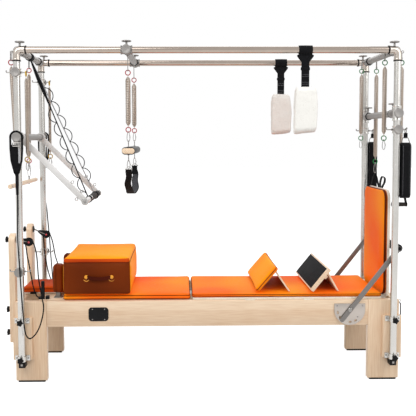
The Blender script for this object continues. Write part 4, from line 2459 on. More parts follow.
@dataclass
class Pulleys:
    """The pulley risers with their sheaves, the hand loops, and the ropes that run over them."""

    shop: Workshop
    hardware: Hardware
    face: float = -1.2003
    thickness: float = 0.038
    half_width: float = 0.05
    place: float = 0.25
    foot: float = 0.247
    top: float = 0.93
    knob_heights: tuple[float, ...] = (0.3, 0.447, 0.89)
    bolt_height: float = 0.89
    sheave: float = 0.024
    groove: float = 0.02
    sheave_width: float = 0.012
    cheek: float = 0.025
    neck: float = 0.052
    rope: float = 0.008
    rope_wrap: float = 0.0249
    post_x: float = -1.0508
    post_height: float = 0.5197
    sleeve_foot: float = 1.1817
    sleeve_top: float = 1.304
    loop_places: dict[Side, float] = field(default_factory=lambda: {Side.FRONT: -1.152, Side.REAR: -1.148})
    loop_y: float = 0.402
    loop_inner: float = 0.3988
    loop_outer: float = 0.4155
    loop_centre: float = 1.53
    loop_half: float = 0.0405
    loop_wall: float = 0.0105

    def ropes(self) -> None:
        """Build both ropes on the routes that the part's source gives."""
        hang = {
            Side.FRONT: [
                (-1.152, -0.402, 1.15), (-1.152, -0.404, 1.11), (-1.152, -0.411, 1.02),
                (-1.152, -0.417, 0.921), (-1.148, -0.421, 0.847), (-1.142, -0.425, 0.737),
                (-1.136, -0.428, 0.632), (-1.13, -0.43, 0.54), (-1.124, -0.431, 0.447),
                (-1.118, -0.428, 0.37), (-1.108, -0.422, 0.322), (-1.09, -0.414, 0.304),
                (-1.066, -0.402, 0.318), (-1.041, -0.388, 0.357), (-1.024, -0.37, 0.412),
            ],
            Side.REAR: [
                (-1.148, 0.402, 1.15), (-1.145, 0.403, 1.11), (-1.133, 0.404, 1.02), (-1.127, 0.404, 0.94),
                (-1.118, 0.405, 0.827), (-1.112, 0.406, 0.718), (-1.104, 0.407, 0.587), (-1.098, 0.408, 0.48),
                (-1.092, 0.406, 0.38), (-1.078, 0.402, 0.326), (-1.056, 0.396, 0.308), (-1.032, 0.387, 0.322),
                (-1.016, 0.378, 0.362), (-1.008, 0.366, 0.412),
            ],
        }
        rise = {
            Side.FRONT: [
                (-1.017, -0.348, 0.48), (-1.028, -0.332, 0.532), (-1.045, -0.302, 0.59),
                (-1.06, -0.275, 0.65), (-1.068, -0.258, 0.72), (-1.074, -0.251, 0.785),
                (-1.083, -0.25, 0.835),
            ],
            Side.REAR: [
                (-1.005, 0.348, 0.48), (-1.01, 0.332, 0.532), (-1.022, 0.305, 0.59), (-1.04, 0.278, 0.65),
                (-1.052, 0.259, 0.707), (-1.06, 0.251, 0.765), (-1.07, 0.25, 0.815),
            ],
        }
        fall = {
            Side.FRONT: [
                (-1.139, -0.25, 0.835), (-1.134, -0.25, 0.79), (-1.124, -0.25, 0.735), (-1.112, -0.25, 0.664),
                (-1.1, -0.25, 0.594), (-1.086, -0.25, 0.545), (-1.072, -0.25, 0.524),
            ],
            Side.REAR: [
                (-1.128, 0.25, 0.813), (-1.126, 0.25, 0.76), (-1.12, 0.25, 0.7), (-1.11, 0.25, 0.64),
                (-1.098, 0.25, 0.586), (-1.086, 0.25, 0.545), (-1.072, 0.25, 0.524),
            ],
        }
        for side in Side:
            y = side.value * self.place
            centre = middle(f"sheave_{side.label}")
            wrap = [(a, y, b) for a, b in arc(centre.x, centre.z, self.rope_wrap, 0, 180, 6)]
            start = (self.loop_places[side], side.value * self.loop_y, self.sleeve_foot)
            end = (self.post_x, y, self.post_height)
            places = [start, *hang[side], *rise[side], *wrap, *fall[side], end]
            line = through([Vector(place) for place in places], 10)
            name = f"rope_{side.label}"
            rope = self.shop.piece(
                f"{name}_braid", Form.wire(line, self.rope / 2, 12), "frame", BRAID, nodes=[name])
            length = sum((b - a).length for a, b in zip(line, line[1:]))
            [tuple(point) for point in line]

    def build(self) -> None:
        """Build the risers, sheaves and hand loops."""
        for side in Side:
            self.riser(side)
            self.block(side)
            self.hand_loop(side)

    def riser(self, side: Side) -> None:
        """Build a riser board with its knobs and face plate.

        Args:
            side: The side of the table.
        """
        y = side.value * self.place
        back = self.face - self.thickness
        outline = [
            (y - self.half_width, self.foot), (y + self.half_width, self.foot),
            *arc(y, self.top - self.half_width, self.half_width, 0, 180, 24),
        ]
        board = Form.plate(outline, Axis.X, back, self.face, edge=0.003, segments=3)
        self.shop.piece(
            f"riser_board_{side.label}", board, "frame", MAPLE_TALL, nodes=[f"pulley_riser_{side.label}"])
        knobs = [self.hardware.star_knob(xyz(back, y, z), xyz(-1, 0, 0)) for z in self.knob_heights]
        plate = Form.turned([
            (0, -0.001), (0.022, -0.001), (0.022, 0.0045), (0.0205, 0.006), (0, 0.006),
        ], xyz(self.face, y, self.bolt_height), (1, 0, 0), 40)
        self.shop.piece(f"riser_knobs_{side.label}", several([*knobs, plate]), "frame", PLASTIC)

    def block(self, side: Side) -> None:
        """Build a pulley block: its swivel bolt, two teardrop cheeks, hub and sheave.

        Args:
            side: The side of the table.
        """
        y = side.value * self.place
        centre = middle(f"sheave_{side.label}")
        bolt_end = xyz(self.face + 0.006, y, self.bolt_height)
        way = (xyz(centre.x, y, centre.z) - bolt_end).normalized()
        neck = xyz(centre.x, y, centre.z) - way * self.neck
        bolt = Form.rod(bolt_end - way * 0.002, neck, 0.005, 24)
        bolt.joined(self.hardware.nut(bolt_end, way, 0.009, 0.006))
        self.shop.piece(f"block_bolt_{side.label}", bolt, "frame", BRIGHT)
        tangent = math.degrees(math.acos((self.cheek - 0.01) / self.neck))
        base = math.degrees(math.atan2(neck.z - centre.z, neck.x - centre.x))
        outline = [
            *arc(centre.x, centre.z, self.cheek, base + tangent, base + 360 - tangent, 28),
            *arc(neck.x, neck.z, 0.01, base - tangent, base + tangent, 10),
        ]
        inner = self.sheave_width / 2 + 0.0008
        cheeks = [
            Form.plate(outline, Axis.Y, y + way_y * inner, y + way_y * (inner + 0.003), edge=0.0008)
            for way_y in (-1, 1)
        ]
        cheeks.append(Form.rod(xyz(neck.x, y - inner, neck.z), xyz(neck.x, y + inner, neck.z), 0.0095, 24))
        self.shop.piece(f"block_cheeks_{side.label}", several(cheeks), "frame", PLASTIC)
        hub, stripes = [], []
        for way_y in (-1, 1):
            face = y + way_y * (inner + 0.003)
            hub.append(Form.turned([
                (0, 0), (0.0066, 0), (0.0066, 0.0008), (0.0052, 0.0016), (0, 0.002),
            ], xyz(centre.x, face - way_y * 0.0002, centre.z), (0, way_y, 0), 24))
            stripes.append(Form.plate(
                slot_outline((neck.x + way.x * 0.004, neck.z + way.z * 0.004),
                             (centre.x - way.x * 0.012, centre.z - way.z * 0.012), 0.006, 6),
                Axis.Y, face - way_y * 0.0003, face + way_y * 0.0006))
        self.shop.piece(f"block_hub_{side.label}", several(hub), "frame", SIGNAL)
        self.shop.piece(f"block_stripe_{side.label}", several(stripes), "frame", BRIGHT)
        pin = Form.rod(
            xyz(centre.x, y - inner - 0.002, centre.z), xyz(centre.x, y + inner + 0.002, centre.z), 0.0042,
            20)
        self.shop.piece(f"block_pin_{side.label}", pin, "frame", BRIGHT)
        rim = self.sheave_width / 2
        profile = [
            (0.0045, -rim), (self.sheave - 0.0012, -rim), (self.sheave, -rim + 0.0008),
            (self.sheave - 0.0008, -rim + 0.002), (self.groove + 0.0006, -rim * 0.45),
            (self.groove, -rim * 0.2), (self.groove, rim * 0.2), (self.groove + 0.0006, rim * 0.45),
            (self.sheave - 0.0008, rim - 0.002), (self.sheave, rim - 0.0008), (self.sheave - 0.0012, rim),
            (0.0045, rim),
        ]
        wheel = Form.turned(profile, xyz(centre.x, y, centre.z), (0, 1, 0), 48, hollow=True)
        marks = [
            Form.rod(
                xyz(centre.x + a, y + s * (rim - 0.0006), centre.z + b),
                xyz(centre.x + a, y + s * (rim + 0.0004), centre.z + b), 0.0024, 14)
            for a, b in arc(0, 0, 0.0125, 0, 300, 5)
            for s in (-1, 1)
        ]
        self.shop.piece(
            f"pulley_wheel_{side.label}", wheel.joined(*marks), f"sheave_{side.label}", PLASTIC,
            nodes=[f"sheave_{side.label}"])

    def hand_loop(self, side: Side) -> None:
        """Build a hand loop: the padded web round the knob's hub, its buckle and the rope sleeve.

        Args:
            side: The side of the table.
        """
        s = side.value
        x = self.loop_places[side]
        name = f"hand_loop_{side.label}"
        near, far = s * self.loop_inner, s * self.loop_outer
        centre, wall = self.loop_centre, self.loop_wall
        mid = self.loop_half - wall / 2
        line = [
            *arc(x, centre, mid, 0, 180, 20), (x - mid, 1.46), (x - mid * 0.86, 1.39), (x - 0.013, 1.315),
            (x + 0.013, 1.315), (x + mid * 0.86, 1.39), (x + mid, 1.46),
        ]
        web = Form.band(line, Axis.Y, near, far, wall, closed=True)
        web.rounded(0.0032, 3, 60)
        low, high = (near, far) if s > 0 else (far, near)
        fill = Form.plate([
            (x - mid + 0.002, 1.485), (x - mid * 0.84, 1.39), (x - 0.011, 1.316), (x + 0.011, 1.316),
            (x + 0.018, 1.36), (x + 0.008, 1.485),
        ], Axis.Y, low + 0.003, high - 0.003, edge=0.002)
        neck = Form.plate([
            (x - 0.0205, 1.345), (x - 0.0095, 1.3), (x + 0.0095, 1.3), (x + 0.0205, 1.345),
        ], Axis.Y, low, high - 0.004, edge=0.002)
        self.shop.piece(name + "_webbing", web.joined(fill, neck), "frame", WEB, nodes=[name])
        length = self.sleeve_top - self.sleeve_foot - GAP
        sleeve = Form.turned([
            (0, 0), (0.006, 0), (0.0072, 0.002), (0.0078, 0.03), (0.0096, 0.06), (0.0099, length - 0.004),
            (0.0085, length), (0, length),
        ], xyz(x, s * self.loop_y, self.sleeve_foot + GAP), (0, 0, 1), 28)
        self.shop.piece(f"{name}_sleeve", sleeve, "frame", RUBBER)
        face = far + s * 0.0012
        frame_line = filleted([
            xyz(x - 0.02, face, 1.497), xyz(x + 0.022, face, 1.497), xyz(x + 0.022, face, 1.476),
            xyz(x - 0.02, face, 1.476), xyz(x - 0.02, face, 1.497),
        ], 0.004)
        buckle = Form.wire(frame_line, 0.0026, 8)
        buckle.joined(Form.rod(xyz(x + 0.001, face, 1.474), xyz(x + 0.001, face, 1.499), 0.0022, 10))
        self.shop.piece(f"{name}_buckle", buckle, "frame", BRIGHT)
        tab = Form.box((x + 0.013, face - s * 0.004, 1.375), (x + 0.0225, face, 1.462), 0.0008)
        self.shop.piece(f"{name}_tab", tab, "frame", PALE_WEB)


class Cover(Enum):
    """How a pad's two vinyls are laid out."""

    WHOLE = "one vinyl all over"
    FRONT_PANEL = "a dark panel on the front"
    DARK_SIDES = "dark sides round a bright face"


@dataclass
class Cushion:
    """An upholstered pad: crown, drawn-in sides, a seam under its top edge, and the swell of its filling."""

    shop: Workshop
    name: str
    body: str
    size: tuple[float, float, float]
    seat: Matrix
    finishes: Sequence[Finish] = (VINYL,)
    corner: float = 0.022
    edge: float = 0.009
    crown: float = 0.004
    draw_in: float = 0.003
    cell: float = 0.024
    fill: float = 0.75
    swell: float = 0.003
    pressure: float = 3.0
    frames: int = 15
    seams: Sequence[float] = (0.012,)
    seam_half: float = 0.0025
    seam_depth: float = 0.0022
    welt: float = 0.0016
    cover: Cover = Cover.WHOLE
    nodes: Sequence[str] = ()

    @property
    def flat(self) -> float:
        """The height of the pad's rim, below its crown and the swell of its filling."""
        return self.size[2] - self.crown - self.swell * 0.6

    def build(self) -> bpy.types.Object:
        """Build the pad in its own frame, fill it, seat it and sew its seams.

        Returns:
            The padded piece.
        """
        form = self.blank()
        thing = self.shop.object(self.name, form, *self.finishes, sharp=60)
        self.inflate(thing)
        self.wrinkle(thing)
        self.sew(thing)
        thing.data.transform(self.seat)
        thing.data.update()
        self.shop.declare(thing, self.body, self.finishes[0].slot, self.nodes)
        smooth = thing.modifiers.new("soft_surface", "SUBSURF")
        smooth.levels = smooth.render_levels = 1
        return thing

    def blank(self) -> Form:
        """Cut the pad's shape from a block: round corners, soft rims and a grid to bend on.

        Returns:
            The blank, with its foot at the origin's height.
        """
        a, b, _ = self.size
        flat = self.flat
        form = Form()
        bmesh.ops.create_cube(
            form.mesh, size=1,
            matrix=Matrix.Translation((a / 2, 0, flat / 2)) @ Matrix.Diagonal((a, b, flat, 1)))
        upright = [
            edge
            for edge in form.mesh.edges
            if abs((edge.verts[0].co - edge.verts[1].co).z) > flat / 2
        ]
        bmesh.ops.bevel(
            form.mesh, geom=upright, offset=self.corner, offset_type="OFFSET", segments=5, profile=0.5,
            affect="EDGES", material=-1)
        rims = [edge for edge in form.mesh.edges if edge.calc_face_angle(0.0) > 1.0]
        bmesh.ops.bevel(
            form.mesh, geom=rims, offset=self.edge, offset_type="OFFSET", segments=3, profile=0.5,
            affect="EDGES", material=-1)
        clear = self.corner + 0.002
        form.sliced(Axis.X, self.grid(clear, a - clear))
        form.sliced(Axis.Y, self.grid(clear - b / 2, b / 2 - clear))
        levels = [
            flat - seam + shift
            for seam in self.seams
            for shift in (-self.seam_half, 0, self.seam_half)
        ]
        if flat > 0.08:
            levels += self.grid(self.edge + 0.004, flat - self.edge - 0.012)
        form.sliced(Axis.Z, levels)
        if self.cover is not Cover.WHOLE:
            form.painted(1, self.dark)
        if len(self.finishes) > 2:
            rim = self.flat - self.seams[0]
            form.painted(2, lambda face: face.material_index == 1 and face.calc_center_median().z > rim)
        return form.shaped(self.pull).ordered()

    def dark(self, face: bmesh.types.BMFace) -> bool:
        """Tell whether a face of the blank belongs to the pad's dark vinyl.

        Args:
            face: The face.

        Returns:
            Whether it is dark.
        """
        centre = face.calc_center_median()
        if self.cover is Cover.FRONT_PANEL:
            return face.normal.y < -0.3 and centre.z < self.flat - self.edge * 0.3
        return abs(face.normal.z) < 0.5 and centre.z < self.flat - self.edge * 0.6

    def grid(self, low: float, high: float) -> list[float]:
        """Return evenly spread cuts between two places."""
        count = max(1, round((high - low) / self.cell))
        return [low + (high - low) * i / count for i in range(count + 1)]

    def pull(self, place: Vector) -> Vector:
        """Crown the top and draw the sides in between the corners.

        Args:
            place: A point of the blank.

        Returns:
            Its new place.
        """
        a, b, _ = self.size
        u, v = 2 * place.x / a - 1, 2 * place.y / b
        level = max(0.0, place.z / self.flat)
        dome = (1 - u ** 4) * (1 - v ** 4)
        place.z += self.crown * dome * min(1.0, max(0.0, level * 2 - 1))
        place.x -= math.copysign(self.draw_in, u) * abs(u) ** 10 * (1 - v * v)
        place.y -= math.copysign(self.draw_in, v) * abs(v) ** 10 * (1 - u * u)
        return place

    def inflate(self, thing: bpy.types.Object) -> None:
        """Fill the pad with a short cloth simulation, hold its foot and cap how far a point moves.

        Args:
            thing: The pad.
        """
        foot = thing.vertex_groups.new(name="foot")
        still = [vertex.index for vertex in thing.data.vertices if vertex.co.z < self.edge + 0.002]
        foot.add(still, 1.0, "REPLACE")
        before = [vertex.co.copy() for vertex in thing.data.vertices]
        cloth = thing.modifiers.new("filling", "CLOTH")
        values = {
            "quality": 4, "mass": 0.4, "tension_stiffness": 25, "compression_stiffness": 25,
            "bending_stiffness": 4, "use_pressure": True, "uniform_pressure_force": self.pressure,
            "vertex_group_mass": "foot",
        }
        for name, value in values.items():
            setattr(cloth.settings, name, value)
        cloth.settings.effector_weights.gravity = 0
        cloth.collision_settings.use_collision = False
        scene = bpy.context.scene
        for step in range(1, self.frames + 1):
            scene.frame_set(step)
        settled = thing.evaluated_get(bpy.context.evaluated_depsgraph_get()).to_mesh()
        after = [vertex.co.copy() for vertex in settled.vertices]
        thing.evaluated_get(bpy.context.evaluated_depsgraph_get()).to_mesh_clear()
        thing.modifiers.remove(cloth)
        thing.vertex_groups.clear()
        for vertex, start, stop in zip(thing.data.vertices, before, after):
            move = stop - start
            if move.length > self.swell:
                move *= self.swell / move.length
            vertex.co = start + move
        scene.frame_set(1)

    def wrinkle(self, thing: bpy.types.Object) -> None:
        """Press the seams in and lay soft uneven pulls over the skin.

        Args:
            thing: The pad.
        """
        for vertex in thing.data.vertices:
            place = vertex.co
            centre = xyz(self.size[0] / 2, 0, place.z)
            for seam in self.seams:
                if abs(place.z - (self.flat - seam)) < 0.0012:
                    inward = (centre - place).normalized()
                    place += inward * self.seam_depth
            if place.z > self.edge:
                soft = noise.noise(place * 9.0) * 0.0009 + noise.noise(place * 31.0) * 0.0003
                place.z += soft

    def outline(self) -> list[Pair]:
        """Walk round the pad's plan in steps of about a cell.

        Returns:
            The points of the outline.
        """
        a, b, _ = self.size
        corners = rounded_rectangle(0.0, a, -b / 2, b / 2, self.corner, 5)
        points = []
        for (x0, y0), (x1, y1) in zip(corners, corners[1:] + corners[:1]):
            count = max(1, round(math.hypot(x1 - x0, y1 - y0) / self.cell))
            points += [(x0 + (x1 - x0) * i / count, y0 + (y1 - y0) * i / count) for i in range(count)]
        return points

    def sew(self, thing: bpy.types.Object) -> None:
        """Lay a thin welt cord in each seam, snapped to the filled skin.

        Args:
            thing: The pad.
        """
        mesh = bmesh.new()
        mesh.from_mesh(thing.data)
        tree = BVHTree.FromBMesh(mesh)
        welts = []
        for seam in self.seams:
            points = []
            for x, y in self.outline():
                near, normal, _, _ = tree.find_nearest(xyz(x, y, self.flat - seam))
                points.append(
                    xyz(near.x, near.y, self.flat - seam) + xyz(normal.x, normal.y, 0) * self.welt * 0.3)
            welts.append(Form.wire(points, self.welt, 6, ring=True))
        mesh.free()
        self.shop.piece(f"{self.name}_welt", several(welts).moved(self.seat), self.body, VINYL_SEAM)


@dataclass
class Carriage:
    """The rolling carriage: deck with wheels and rope posts, pad, shoulder rests and hinged head rest."""

    shop: Workshop
    hardware: Hardware
    head: float = -1.065
    pad_head: float = -0.908
    foot: float = -0.108
    half: float = 0.268
    top: float = 0.5117
    thickness: float = 0.02
    pad_half: float = 0.29
    pad_top: float = MAT_TOP
    wheel: float = 0.02
    wheel_width: float = 0.014
    wheel_places: Pair = (-0.788, -0.227)
    wheel_inner: float = 0.259
    post: Pair = (-1.039, 0.25)
    post_radius: float = 0.0115
    post_top: float = 0.625
    shoulder_foot: float = -0.917
    shoulder_size: tuple[float, float, float] = (0.181, 0.092, 0.065)
    shoulder_place: float = 0.2
    shoulder_bottom: float = 0.545
    rest_head: float = -1.195
    rest_size: tuple[float, float, float] = (0.269, 0.26, 0.041)
    rest_board: Pair = (0.517, 0.525)

    def build(self) -> None:
        """Build the carriage's pieces."""
        self.deck()
        Cushion(
            self.shop, "carriage_cushion", "carriage",
            (self.foot - self.pad_head, 2 * self.pad_half, self.pad_top - self.top - GAP),
            Matrix.Translation((self.pad_head, 0, self.top + GAP)), seams=(0.0095, 0.028),
            nodes=["carriage_pad"]).build()
        for side in Side:
            self.shoulder_rest(side)
        self.head_rest()

    def deck(self) -> None:
        """Build the deck board, its wheels on brackets and the two rope posts."""
        board = Form.box(
            (self.head, -self.half, self.top - self.thickness), (self.foot, self.half, self.top), 0.003)
        self.shop.piece("carriage_board", board, "carriage", MAPLE_LONG, nodes=["carriage_deck"])
        wheels, brackets, posts = [], [], []
        centre_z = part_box("carriage_deck")[0].z + self.wheel
        for side in Side:
            s = side.value
            for x in self.wheel_places:
                wheels.append(Form.turned([
                    (0, 0), (0.008, 0), (0.009, 0.0015), (self.wheel - 0.001, 0.0015), (self.wheel, 0.003),
                    (self.wheel, self.wheel_width - 0.002), (self.wheel - 0.001, self.wheel_width - 0.0005),
                    (0.009, self.wheel_width - 0.0005), (0.008, self.wheel_width), (0, self.wheel_width),
                ], xyz(x, s * self.wheel_inner, centre_z), (0, s, 0), 40))
                bracket_top = self.top - self.thickness + 0.001
                brackets.append(Form.box(
                    (x - 0.02, s * (self.wheel_inner - 0.005), centre_z - 0.011),
                    (x + 0.02, s * (self.wheel_inner - 0.0005), bracket_top), 0.001))
                brackets.append(Form.box(
                    (x - 0.02, s * (self.wheel_inner - 0.03), bracket_top - 0.005),
                    (x + 0.02, s * (self.wheel_inner - 0.0005), bracket_top), 0.001))
            x, y = self.post[0], s * self.post[1]
            posts.append(Form.turned([
                (0, -0.002), (self.post_radius, -0.002), (self.post_radius, 0.072),
                (self.post_radius - 0.0016, 0.0745), (self.post_radius - 0.0016, 0.0785),
                (self.post_radius, 0.081), (self.post_radius, self.post_top - self.top - 0.003),
                (self.post_radius - 0.003, self.post_top - self.top), (0, self.post_top - self.top),
            ], xyz(x, y, self.top), (0, 0, 1), 32))
            for start, high in ((-0.027, 0.014), (0.018, 0.02)):
                posts.append(Form.box(
                    (x + start, y - 0.016, self.top - 0.001), (x + start + 0.021, y + 0.016, self.top + high),
                    0.003))
        self.shop.piece("carriage_wheels", several(wheels), "carriage", RUBBER)
        self.shop.piece("carriage_wheel_brackets", several(brackets), "carriage", CAST)
        self.shop.piece("rope_posts", several(posts), "carriage", PLASTIC)

    def shoulder_rest(self, side: Side) -> None:
        """Build a shoulder rest: an upright pad on a steel foot.

        Args:
            side: The side of the table.
        """
        y = side.value * self.shoulder_place
        a, b, c = self.shoulder_size
        seat = Matrix((
            (0, 0, -1, self.shoulder_foot), (0, 1, 0, y), (1, 0, 0, self.shoulder_bottom), (0, 0, 0, 1)))
        Cushion(
            self.shop, f"shoulder_cushion_{side.label}", "carriage", (a, b, c), seat, (VINYL_DARK,),
            corner=0.0276, edge=0.016, crown=0.003, draw_in=0.0, cell=0.012, seams=(0.02,),
            nodes=[f"shoulder_rest_{side.label}"]).build()
        mid = self.shoulder_foot - c / 2
        foot = Form.box(
            (mid - 0.025, y - 0.025, self.top + GAP), (mid + 0.025, y + 0.025, self.top + 0.006), 0.0015)
        foot.joined(Form.box(
            (mid - 0.014, y - 0.02, self.top + 0.005), (mid + 0.014, y + 0.02, self.shoulder_bottom + 0.006),
            0.002))
        self.shop.piece(f"shoulder_foot_{side.label}", foot, "carriage", CAST)

    def head_rest(self) -> None:
        """Build the head rest on its hinged board, with the block it comes down on."""
        a, b, c = self.rest_size
        low, high = self.rest_board
        Cushion(
            self.shop, "head_cushion", "head_rest", (a, b, c), Matrix.Translation((self.rest_head, 0, high)),
            finishes=(VINYL_DEEP,), nodes=["head_rest"]).build()
        board = Form.box(
            (self.rest_head + 0.009, 0.009 - b / 2, low),
            (self.rest_head + a - 0.001, b / 2 - 0.009, high + 0.001), 0.0015)
        board.joined(Form.box(
            (self.rest_head + 0.009, 0.03 - b / 2, 0.5105),
            (self.rest_head + 0.038, b / 2 - 0.03, low + 0.001), 0.0015))
        self.shop.piece("head_rest_board", board, "head_rest", BIRCH)
        hinge = Form.rod(
            xyz(self.rest_head + a + 0.005, 0.022 - b / 2, low),
            xyz(self.rest_head + a + 0.005, b / 2 - 0.022, low), 0.005, 20, 0.0006)
        for y in (-0.08, 0, 0.08):
            hinge.joined(Form.box(
                (self.rest_head + a - 0.024, y - 0.017, low - 0.0004),
                (self.rest_head + a + 0.004, y + 0.017, low + 0.0012), 0.0004))
        self.shop.piece("head_rest_hinge", hinge, "head_rest", BRIGHT)
        latches = [
            Form.box(
                (self.rest_head + 0.05, s * (b / 2 - 0.006), low - 0.001),
                (self.rest_head + 0.09, s * (b / 2 + 0.004), high + 0.006), 0.002)
            for s in (-1, 1)
        ]
        self.shop.piece("head_rest_latches", several(latches), "head_rest", PLASTIC)


@dataclass
class LongMat:
    """The long mat over the rails: a board and its cushion."""

    shop: Workshop
    head: float = -0.1
    length: float = 1.2
    board_half: float = 0.3
    half: float = 0.29
    foot: float = 0.5103
    board: float = 0.012
    top: float = MAT_TOP

    def build(self) -> None:
        """Build the mat's board and cushion."""
        board = Form.box(
            (self.head + 0.007, -self.board_half, self.foot),
            (self.head + self.length - 0.007, self.board_half, self.foot + self.board), 0.002)
        self.shop.piece("long_mat_board", board, "long_mat", BIRCH)
        Cushion(
            self.shop, "long_cushion", "long_mat",
            (self.length, 2 * self.half, self.top - self.foot - self.board),
            Matrix.Translation((self.head, 0, self.foot + self.board)), edge=0.007, seams=(0.008, 0.018),
            nodes=["long_mat"]).build()


@dataclass
class SittingBox:
    """The sitting box: a tall padded block with a dark front panel and a strap handle."""

    shop: Workshop
    head: float = -0.903
    front: float = -0.318
    size: tuple[float, float, float] = (0.421, 0.61, 0.234)
    foot: float = 0.5525
    handle_middle: float = -0.677
    handle_half: float = 0.078
    handle_height: float = 0.662

    def build(self) -> None:
        """Build the box and its handle."""
        seat = Matrix.Translation((self.head, self.front + self.size[1] / 2, self.foot))
        Cushion(
            self.shop, "box_cover", "sitting_box", self.size, seat, (VINYL_BRIGHT, VINYL_DARK, VINYL_DEEP),
            corner=0.024, edge=0.015, crown=0.005, draw_in=0.003, swell=0.005, seams=(0.026,),
            cover=Cover.FRONT_PANEL, nodes=["sitting_box"]).build()
        self.handle()

    def handle(self) -> None:
        """Build the strap handle on the front panel, bowed out and held by two round buttons."""
        face = self.front + 0.0025
        line = []
        for i in range(17):
            share = 2 * i / 16 - 1
            line.append((
                self.handle_middle + share * self.handle_half, face - 0.003 - 0.015 * (1 - share ** 4)))
        strap = Form.band(line, Axis.Z, self.handle_height - 0.011, self.handle_height + 0.011, 0.0045)

        def sag(place: Vector) -> Vector:
            """Let the strap's middle hang lower than its ends.

            Args:
                place: A point of the strap.

            Returns:
                Its new place.
            """
            share = (place.x - self.handle_middle) / self.handle_half
            place.z -= 0.008 * max(0.0, 1 - share * share)
            return place

        strap.shaped(sag)
        self.shop.piece("box_handle", strap, "sitting_box", VINYL_SEAM)
        buttons = []
        for s in (-1, 1):
            place = xyz(self.handle_middle + s * self.handle_half, face, self.handle_height)
            buttons.append(Form.turned([
                (0, -0.001), (0.0125, -0.001), (0.0128, 0.005), (0.0105, 0.0085), (0.006, 0.0098),
                (0, 0.0098),
            ], place, (0, -1, 0), 28))
            lip = [
                xyz(place.x + a, face - 0.001, place.z - 0.007 + b)
                for a, b in arc(0, 0, 0.0185, 205, 335, 14)
            ]
            buttons.append(Form.wire(lip, 0.0046, 10))
        self.shop.piece("box_handle_buttons", several(buttons), "sitting_box", AMBER)


@dataclass
class Props:
    """The leaning pad and the standing board, each propped on the long mat."""

    shop: Workshop
    base: float = 0.5523
    half: float = 0.288
    pad_place: float = 0.32
    pad_angle: float = 49.0
    pad_length: float = 0.195
    pad_thickness: float = 0.034
    pad_reach: float = 0.2
    board_place: float = 0.666
    board_angle: float = 51.0
    board_length: float = 0.177
    board_thickness: float = 0.026
    board_reach: float = 0.164
    leg: float = 0.008
    inset: float = 0.026
    batten: Pair = (0.022, 0.01)

    def frame_at(self, place: float, degrees: float) -> Matrix:
        """Return the frame of a slab that leans up from the mat at a place.

        Args:
            place: Where its foot stands along the bed.
            degrees: How far it leans up.

        Returns:
            The frame, with X up the slab and Z out of its face.
        """
        angle = math.radians(degrees)
        return Matrix((
            (math.cos(angle), 0, -math.sin(angle), place), (0, 1, 0, 0),
            (math.sin(angle), 0, math.cos(angle), self.base), (0, 0, 0, 1),
        ))

    def build(self) -> None:
        """Build both props."""
        self.leaning_pad()
        self.standing_board()

    def prop(self, place: float, degrees: float, length: float, reach: float, body: str) -> None:
        """Build the board that props a slab, its hinge and its rubber strip.

        Args:
            place: Where the slab stands along the bed.
            degrees: How far it leans up.
            length: The slab's length.
            reach: How far from the slab's foot the prop stands.
            body: The body that carries both.
        """
        angle = math.radians(degrees)
        hang = length - self.inset
        top_x, top_z = place + hang * math.cos(angle), self.base + hang * math.sin(angle)
        low_x = place + reach
        outline = [
            (top_x - self.leg, top_z + self.leg / 2), (low_x - self.leg, self.base + 0.0006),
            (low_x + self.leg / 2, self.base + 0.0006), (top_x + self.leg / 2, top_z + self.leg / 2),
        ]
        half = self.half - self.inset
        board = Form.plate(outline, Axis.Y, -half, half, edge=0.0012)
        self.shop.piece(f"{body}_prop", board, body, MAPLE_WIDE)
        way = xyz(math.cos(angle), 0, math.sin(angle))
        hinges = []
        for y in (-0.2, 0.2):
            pin = xyz(top_x, y, top_z) + way * 0.004
            hinges.append(Form.rod(pin - xyz(0, 0.024, 0), pin + xyz(0, 0.024, 0), 0.0036, 16, 0.0005))
        self.shop.piece(f"{body}_hinges", several(hinges), body, BRIGHT)

    def leaning_pad(self) -> None:
        """Build the leaning pad's cushion and its prop."""
        Cushion(
            self.shop, "leaning_cushion", "leaning_pad", (self.pad_length, 2 * self.half, self.pad_thickness),
            self.frame_at(self.pad_place, self.pad_angle), (VINYL_BRIGHT, VINYL), cell=0.018,
            cover=Cover.DARK_SIDES, nodes=["leaning_pad"]).build()
        self.prop(self.pad_place, self.pad_angle, self.pad_length, self.pad_reach, "leaning_pad")

    def standing_board(self) -> None:
        """Build the standing board with its batten and prop."""
        seat = self.frame_at(self.board_place, self.board_angle)
        slab = Form.box((0, -self.half, 0), (self.board_length, self.half, self.board_thickness), 0.003)
        wide, tall = self.batten
        slab.joined(Form.box(
            (self.board_length - 3 * wide, -self.half + 0.004, -tall),
            (self.board_length - 2 * wide, self.half - 0.004, 0.001), 0.002))
        self.shop.piece(
            "standing_slab", slab.moved(seat), "standing_board", MAPLE_WIDE, nodes=["standing_board"])
        rim = 0.009
        sheet = Form.box(
            (rim, rim - self.half, self.board_thickness - 0.0005),
            (self.board_length - rim, self.half - rim, self.board_thickness + 0.002), 0.0006)
        ribs = [
            Form.box(
                (rim + 0.004 + i * 0.0085, rim + 0.004 - self.half, self.board_thickness + 0.0015),
                (rim + 0.008 + i * 0.0085, self.half - rim - 0.004, self.board_thickness + 0.003), 0.0006, 1)
            for i in range(18)
        ]
        self.shop.piece("standing_grip_sheet", several([sheet, *ribs]).moved(seat), "standing_board", RUBBER)
        self.prop(self.board_place, self.board_angle, self.board_length, self.board_reach, "standing_board")


